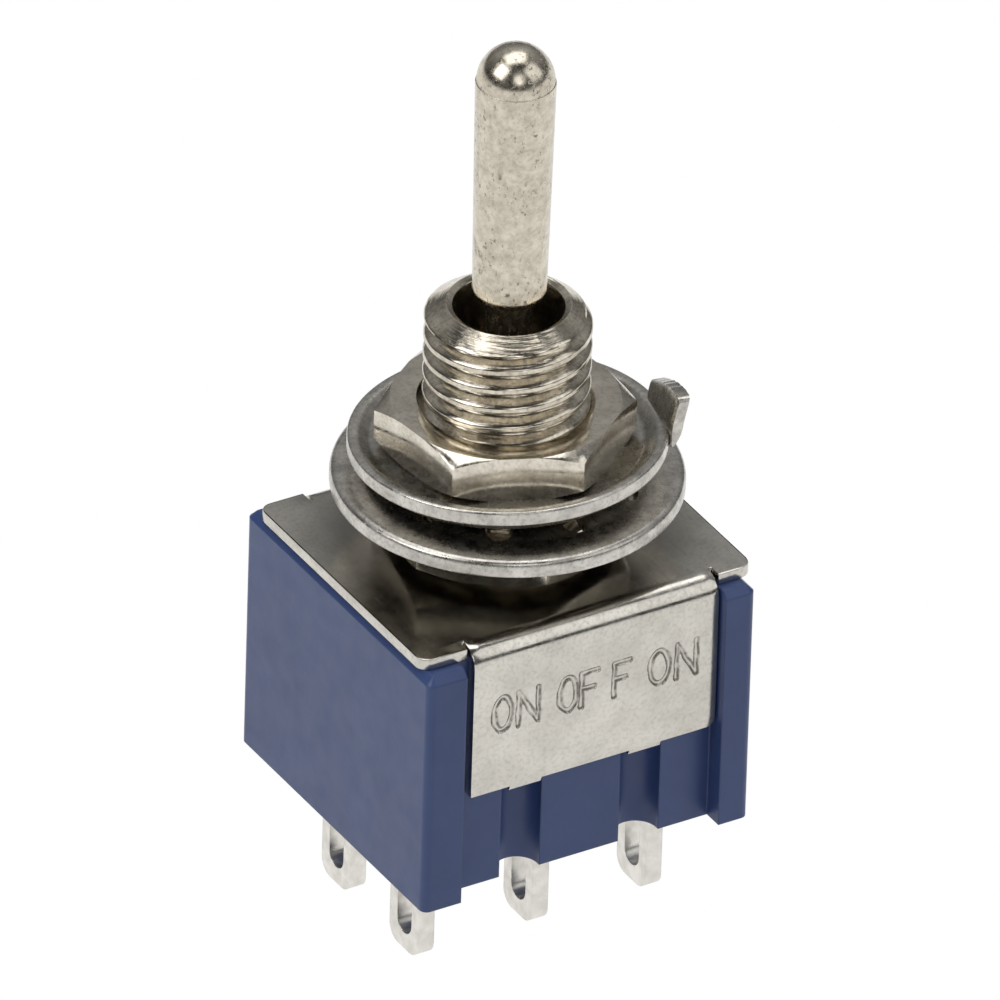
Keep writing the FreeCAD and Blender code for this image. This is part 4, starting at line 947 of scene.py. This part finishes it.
# %% Sizes of the cover
SHEET = 0.45
PLATE_LEFT, PLATE_RIGHT = -6.65, 6.95
PLATE_CORNER = 0.5
EAR_Y = 5.9
SKIRT_Y = 6.1
SKIRT_MIDDLE, SKIRT_WIDTH = 0.36, 10.05
SKIRT_LEFT, SKIRT_RIGHT = SKIRT_MIDDLE - SKIRT_WIDTH / 2, SKIRT_MIDDLE + SKIRT_WIDTH / 2
SKIRT_BOTTOM = -6.15
FOLD = 0.8
RELIEF_WIDTH = 0.12
RELIEF_END = SKIRT_Y - FOLD - 0.05
print("sheet mm:", PLATE_RIGHT - PLATE_LEFT, "by", 2 * SKIRT_Y, "folded")

# %% [markdown]
# The sheet starts as a flat grid. Its columns are places along X, close together where
# the letters go. Its rows run up the front skirt, round the fold, over the top and down
# the back, and each notes what part of the sheet it belongs to.

# %% Columns and rows of the sheet
FINE_STEP = 0.03
quarter = np.linspace(0, math.pi / 2, 8)
left_ear = [PLATE_LEFT + PLATE_CORNER * (1 - math.cos(a)) for a in quarter]
right_ear = [PLATE_RIGHT - PLATE_CORNER * (1 - math.cos(a)) for a in quarter[::-1]]
columns = left_ear + [SKIRT_LEFT - RELIEF_WIDTH, SKIRT_LEFT, -4.25]
columns += list(np.arange(-3.95, 5.02, FINE_STEP))
columns += [SKIRT_RIGHT, SKIRT_RIGHT + RELIEF_WIDTH] + right_ear
skirt_from, skirt_to = columns.index(SKIRT_LEFT), columns.index(SKIRT_RIGHT)

fold_rows = [(-SKIRT_Y + FOLD - FOLD * math.cos(a), -FOLD + FOLD * math.sin(a), "fold")
             for a in np.linspace(0, math.pi / 2, 9)[1:]]
fold_rows += [(-RELIEF_END, 0.0, "flat"), (-4.9, 0.0, "flat"), (-3.0, 0.0, "flat")]
front_heights = [SKIRT_BOTTOM, -5.6, -4.6] + list(np.arange(-3.98, -1.87, FINE_STEP)) + [-1.3, -FOLD]
back_heights = [SKIRT_BOTTOM, -5.6, -4.6, -3.0, -1.3, -FOLD]
front_rows = [(-SKIRT_Y, z, "skirt") for z in front_heights] + fold_rows
back_rows = [(-SKIRT_Y, z, "skirt") for z in back_heights] + fold_rows
rows = front_rows + [(0.0, 0.0, "flat")] + [(-y, z, kind) for y, z, kind in reversed(back_rows)]
print("cover grid:", len(columns), "by", len(rows))

# %% [markdown]
# Each point of the grid gets a place on the outside of the bent sheet and one on its
# inside. The ears beside a fold stay flat and run on to their own rounded corners.

# %% Where a point of the sheet goes
def ear_reach(x):
    """How far the flat ear reaches from the middle, with its rounded corner."""
    from_end = min(x - PLATE_LEFT, PLATE_RIGHT - x)
    if from_end >= PLATE_CORNER:
        return EAR_Y
    return EAR_Y - PLATE_CORNER + math.sqrt(max(0.0, PLATE_CORNER ** 2 - (PLATE_CORNER - from_end) ** 2))


def ear_place(x, y, z):
    if abs(y) > SKIRT_Y - FOLD:
        share = 1 - (z + FOLD) / FOLD
        y = math.copysign(SKIRT_Y - FOLD + (EAR_Y - SKIRT_Y + FOLD) * share, y)
    return y * ear_reach(x) / EAR_Y


def inner_place(y, z):
    side = -1.0 if y < 0 else 1.0
    centre_y, centre_z = side * (SKIRT_Y - FOLD), -FOLD
    if z < centre_z:
        return y - side * SHEET, z
    if abs(y) <= abs(centre_y):
        return y, z - SHEET
    share = (FOLD - SHEET) / FOLD
    return centre_y + (y - centre_y) * share, centre_z + (z - centre_z) * share


def sheet_places(row, column, press):
    x, (y, z, kind) = columns[column], rows[row]
    if skirt_from <= column <= skirt_to or kind == "skirt":
        return (x, y + press, z), (x, *inner_place(y, z))
    y = ear_place(x, y, z)
    return (x, y, 0.0), (x, y, -SHEET)


print("corner of the ear reaches mm:", round(ear_reach(PLATE_LEFT), 2))

# %% [markdown]
# Blender's grid gives the flat sheet, and the faces outside its outline are cut away.
# One extrusion then gives the inside and the edges. A modifier could thicken the sheet
# instead, but then the letters would come through to the inside.

# %% Cover sheet
STAMP_LOW, STAMP_HIGH = -4.2, -1.7
cover_shape = bmesh.new()
stamped = cover_shape.verts.layers.float.new("stamped")
row_of = cover_shape.verts.layers.int.new("row")
column_of = cover_shape.verts.layers.int.new("column")
bmesh.ops.create_grid(cover_shape, x_segments=len(columns) - 1, y_segments=len(rows) - 1, size=0.5)
for vert in cover_shape.verts:
    vert[row_of] = round((vert.co.y + 0.5) * (len(rows) - 1))
    vert[column_of] = round((vert.co.x + 0.5) * (len(columns) - 1))


def in_outline(face):
    row = min(vert[row_of] for vert in face.verts)
    column = min(vert[column_of] for vert in face.verts)
    kinds = {rows[row][2], rows[row + 1][2]}
    in_slot = column in (skirt_from - 1, skirt_to)
    if skirt_from <= column < skirt_to or kinds == {"flat"}:
        return True
    return "skirt" not in kinds and not in_slot


offcut = [face for face in cover_shape.faces if not in_outline(face)]
bmesh.ops.delete(cover_shape, geom=offcut, context="FACES")
print("sheet:", len(cover_shape.faces), "faces,", len(offcut), "cut away")

# %% [markdown]
# The extrusion copies each point together with its row and column, so its partner is
# easy to place. The two counters then come off, and the number for the darker strokes stays.

# %% Bend, stamp and thicken the sheet
presses = np.zeros((len(rows), len(columns)))
sides = np.zeros((len(rows), len(columns)))
for row, (y, z, kind) in enumerate(rows):
    if kind == "skirt" and y < 0 and STAMP_LOW < z < STAMP_HIGH:
        presses[row], sides[row] = stamp(np.array(columns), np.full(len(columns), z))
outside = list(cover_shape.verts)
grown = bmesh.ops.extrude_face_region(cover_shape, geom=cover_shape.faces[:])
for verts, layer in ((outside, 0), (new_verts(grown), 1)):
    for vert in verts:
        row, column = vert[row_of], vert[column_of]
        vert.co = sheet_places(row, column, presses[row, column])[layer]
        vert[stamped] = 0.0 if layer else sides[row, column]
for counter in ("row", "column"):
    cover_shape.verts.layers.int.remove(cover_shape.verts.layers.int[counter])
print("sheet with its inside:", len(cover_shape.faces), "faces")

# %% [markdown]
# Two lower corners of the skirts are rounded through the sheet, the back left and the
# front right one, and the other two are left square. Then every edge of the sheet is
# broken a little, which gives the bright line along a stamped edge.

# %% Corners and edges of the sheet
SKIRT_CORNER = 0.35
ROUNDED_CORNERS = ((SKIRT_LEFT, 1), (SKIRT_RIGHT, -1))
NEAR = 1e-3


def at_rounded_corner(co):
    return abs(co.z - SKIRT_BOTTOM) < NEAR and any(
        abs(co.x - x) < NEAR and co.y * side > 0 for x, side in ROUNDED_CORNERS)


corner_edges = [e for e in cover_shape.edges if all(at_rounded_corner(v.co) for v in e.verts)]
bmesh.ops.bevel(cover_shape, geom=corner_edges, offset=SKIRT_CORNER, segments=6, profile=0.5,
                affect="EDGES", material=-1)
bmesh.ops.recalc_face_normals(cover_shape, faces=cover_shape.faces)
rim_edges = [e for e in cover_shape.edges
             if len(e.link_faces) == 2 and e.calc_face_angle(0.0) > math.radians(60)]
bmesh.ops.bevel(cover_shape, geom=rim_edges, offset=EDGE_BREAK, segments=2, profile=0.5,
                affect="EDGES", material=-1)
cover = make_piece("cover_folded", cover_shape, "base", "cover_plate",
                   sheet_metal, 40.0)

# %% [markdown]
# The bushing comes up through a punched hole. The cover is held by tongues, small flaps
# of the skirts' lower edges crimped into the grooves of the case. Each is a slanted
# section, extruded along the skirt. They are added in metres to the finished mesh,
# because a cut that came after them would lose one.

# %% Hole and tongues of the cover
HOLE_RADIUS = 3.02
TONGUE_HALF = 0.65
TONGUE_PLACES = (0.15 - 2.45, 0.15 + 2.45)
TONGUE_SECTION = [(6.05, -5.95), (5.85, -6.45), (5.42, -6.45), (5.6, -5.95)]
hole = bmesh.new()
bmesh.ops.create_cone(hole, cap_ends=True, segments=96, radius1=HOLE_RADIUS,
                      radius2=HOLE_RADIUS, depth=2.0)
cut_away(cover, hole)

tongues = bmesh.new()
tongues.from_mesh(cover.data)
sheet_faces = set(tongues.faces)
for x in TONGUE_PLACES:
    for side in (-1, 1):
        ring = [tongues.verts.new(Vector((x - TONGUE_HALF, side * y, z)) * MM)
                for y, z in TONGUE_SECTION]
        grown = bmesh.ops.extrude_face_region(tongues, geom=[tongues.faces.new(ring)])
        bmesh.ops.translate(tongues, vec=(2 * TONGUE_HALF * MM, 0, 0), verts=new_verts(grown))
tongue_faces = [face for face in tongues.faces if face not in sheet_faces]
bmesh.ops.recalc_face_normals(tongues, faces=tongue_faces)
tongues.to_mesh(cover.data)
tongues.free()
shade_softly(cover.data)
print("cover with its tongues:", len(cover.data.polygons), "faces")

# %% [markdown]
# The stage is a pale sheet of paper just under the lugs. Lighting it until it is evenly
# white would wash the switch out. So it is plain white to the camera and in mirror
# images, which gives bright metal its white sides, and real paper to all other light.

# %% Floor
FLOOR_Z = CAD_BOX[0][2]
FLOOR_GAP = 0.00002
FLOOR_HALF = 3.0
floor_shape = bmesh.new()
bmesh.ops.create_grid(floor_shape, x_segments=2, y_segments=2, size=FLOOR_HALF)
floor_mesh = bpy.data.meshes.new("floor")
floor_shape.to_mesh(floor_mesh)
floor_shape.free()
floor = bpy.data.objects.new("floor", floor_mesh)
floor.location.z = FLOOR_Z - FLOOR_GAP
scene.collection.objects.link(floor)
print("floor at mm:", round(FLOOR_Z / MM, 2))

# %% [markdown]
# The Light Path node tells what kind of ray has met the paper. Rays from the camera,
# mirror rays and rays through glass get an even white, and all others get the paper.

# %% Floor paper
WHITE = (1.0, 1.0, 1.0, 1.0)
floor_material, floor_tree, floor_shader = new_finish("floor_paper")
floor_shader.inputs["Roughness"].default_value = 0.9
fibre = ramp(floor_tree, grain_field(floor_tree, 3.0, 4.0), 0.0, 1.0, 0.3, 0.7)
paper = blend_colours(floor_tree, fibre, (0.80, 0.80, 0.80), (0.83, 0.83, 0.83))
floor_tree.links.new(paper, floor_shader.inputs["Base Color"])
even_white = floor_tree.nodes.new("ShaderNodeEmission")
even_white.inputs["Color"].default_value = WHITE
even_white.inputs["Strength"].default_value = 1.0
rays = floor_tree.nodes.new("ShaderNodeLightPath")
sees_white = rays.outputs["Is Camera Ray"]
for kind in ("Is Glossy Ray", "Is Transmission Ray"):
    sees_white = arithmetic(floor_tree, "MAXIMUM", sees_white, rays.outputs[kind])
mixer = floor_tree.nodes.new("ShaderNodeMixShader")
floor_output = next(n for n in floor_tree.nodes if n.type == "OUTPUT_MATERIAL")
floor_tree.links.new(sees_white, mixer.inputs["Fac"])
floor_tree.links.new(floor_shader.outputs["BSDF"], mixer.inputs[1])
floor_tree.links.new(even_white.outputs["Emission"], mixer.inputs[2])
floor_tree.links.new(mixer.outputs["Shader"], floor_output.inputs["Surface"])
floor_mesh.materials.append(floor_material)
print("floor paper ready")

# %% [markdown]
# Three big soft lamps light the switch: from the left, from above and behind, and a
# weaker one from the right. Small lamps would leave hard sparks on the metal.

# %% Lamps
AIM = Vector((0.0, 0.0, 0.0))


def add_lamp(name, place, size, watts):
    data = bpy.data.lights.new(name, "AREA")
    data.shape = "RECTANGLE"
    data.size, data.size_y = size
    data.energy = watts
    lamp = bpy.data.objects.new(name, data)
    lamp.location = place
    lamp.rotation_euler = (AIM - Vector(place)).to_track_quat("-Z", "Y").to_euler()
    scene.collection.objects.link(lamp)


add_lamp("key", (-0.55, 0.05, 0.50), (0.45, 0.45), 2.2)
add_lamp("top", (0.05, 0.15, 0.75), (0.7, 0.5), 2.4)
add_lamp("fill", (0.40, -0.45, 0.46), (0.6, 0.6), 1.3)
print("lamps:", len(bpy.data.lights))

# %% [markdown]
# Metal shows what stands round it, so the sky matters as much as the lamps. It is a
# soft grey, weak at the horizon and stronger higher up, and full only behind the
# switch, where faces that look up mirror it to the camera. The dark front keeps the
# gaps under the washers dark, and one white card lights the upper nut's front flat.

# %% Sky
HORIZON_LIGHT, SKY_LIGHT = 0.08, 0.40
SKY_FULL_HEIGHT = 0.66
BACK_WAY = Vector((0.521, 0.853, 0.0))
FRONT_SHARE = 0.12
BACK_STARTS, BACK_FULL = 0.20, 0.55
CARD_WAY = Vector((-0.290, -0.797, 0.530))
CARD_LIGHT = 1.8
CARD_EDGE, CARD_FULL = 0.950, 0.985
world = bpy.data.worlds.new("studio")
scene.world = world
world.use_nodes = True
world_tree = world.node_tree
world_tree.nodes.clear()
way = world_tree.nodes.new("ShaderNodeTexCoord").outputs["Generated"]


def towards(direction):
    node = world_tree.nodes.new("ShaderNodeVectorMath")
    node.operation = "DOT_PRODUCT"
    node.inputs[1].default_value = direction
    world_tree.links.new(way, node.inputs[0])
    return node.outputs["Value"]


overhead = towards((0.0, 0.0, 1.0))
sky_height = ramp(world_tree, overhead, HORIZON_LIGHT, SKY_LIGHT, 0.0, SKY_FULL_HEIGHT)
back_side = ramp(world_tree, towards(BACK_WAY), FRONT_SHARE, 1.0, BACK_STARTS, BACK_FULL)
card = ramp(world_tree, towards(CARD_WAY), 0.0, CARD_LIGHT, CARD_EDGE, CARD_FULL)
sky_light = arithmetic(world_tree, "MULTIPLY", sky_height, back_side)
sky_light = arithmetic(world_tree, "ADD", sky_light, card)
print("sky light:", HORIZON_LIGHT, "to", SKY_LIGHT)

# %% [markdown]
# To the camera the sky is plain white, like the paper; all else sees the grey sky.

# %% Sky behind the object
def add_sky(strength):
    node = world_tree.nodes.new("ShaderNodeBackground")
    node.inputs["Color"].default_value = WHITE
    if isinstance(strength, float):
        node.inputs["Strength"].default_value = strength
    else:
        world_tree.links.new(strength, node.inputs["Strength"])
    return node.outputs["Background"]


world_rays = world_tree.nodes.new("ShaderNodeLightPath")
world_mix = world_tree.nodes.new("ShaderNodeMixShader")
world_output = world_tree.nodes.new("ShaderNodeOutputWorld")
world_tree.links.new(world_rays.outputs["Is Camera Ray"], world_mix.inputs["Fac"])
world_tree.links.new(add_sky(sky_light), world_mix.inputs[1])
world_tree.links.new(add_sky(1.0), world_mix.inputs[2])
world_tree.links.new(world_mix.outputs["Shader"], world_output.inputs["Surface"])
print("stage ready")
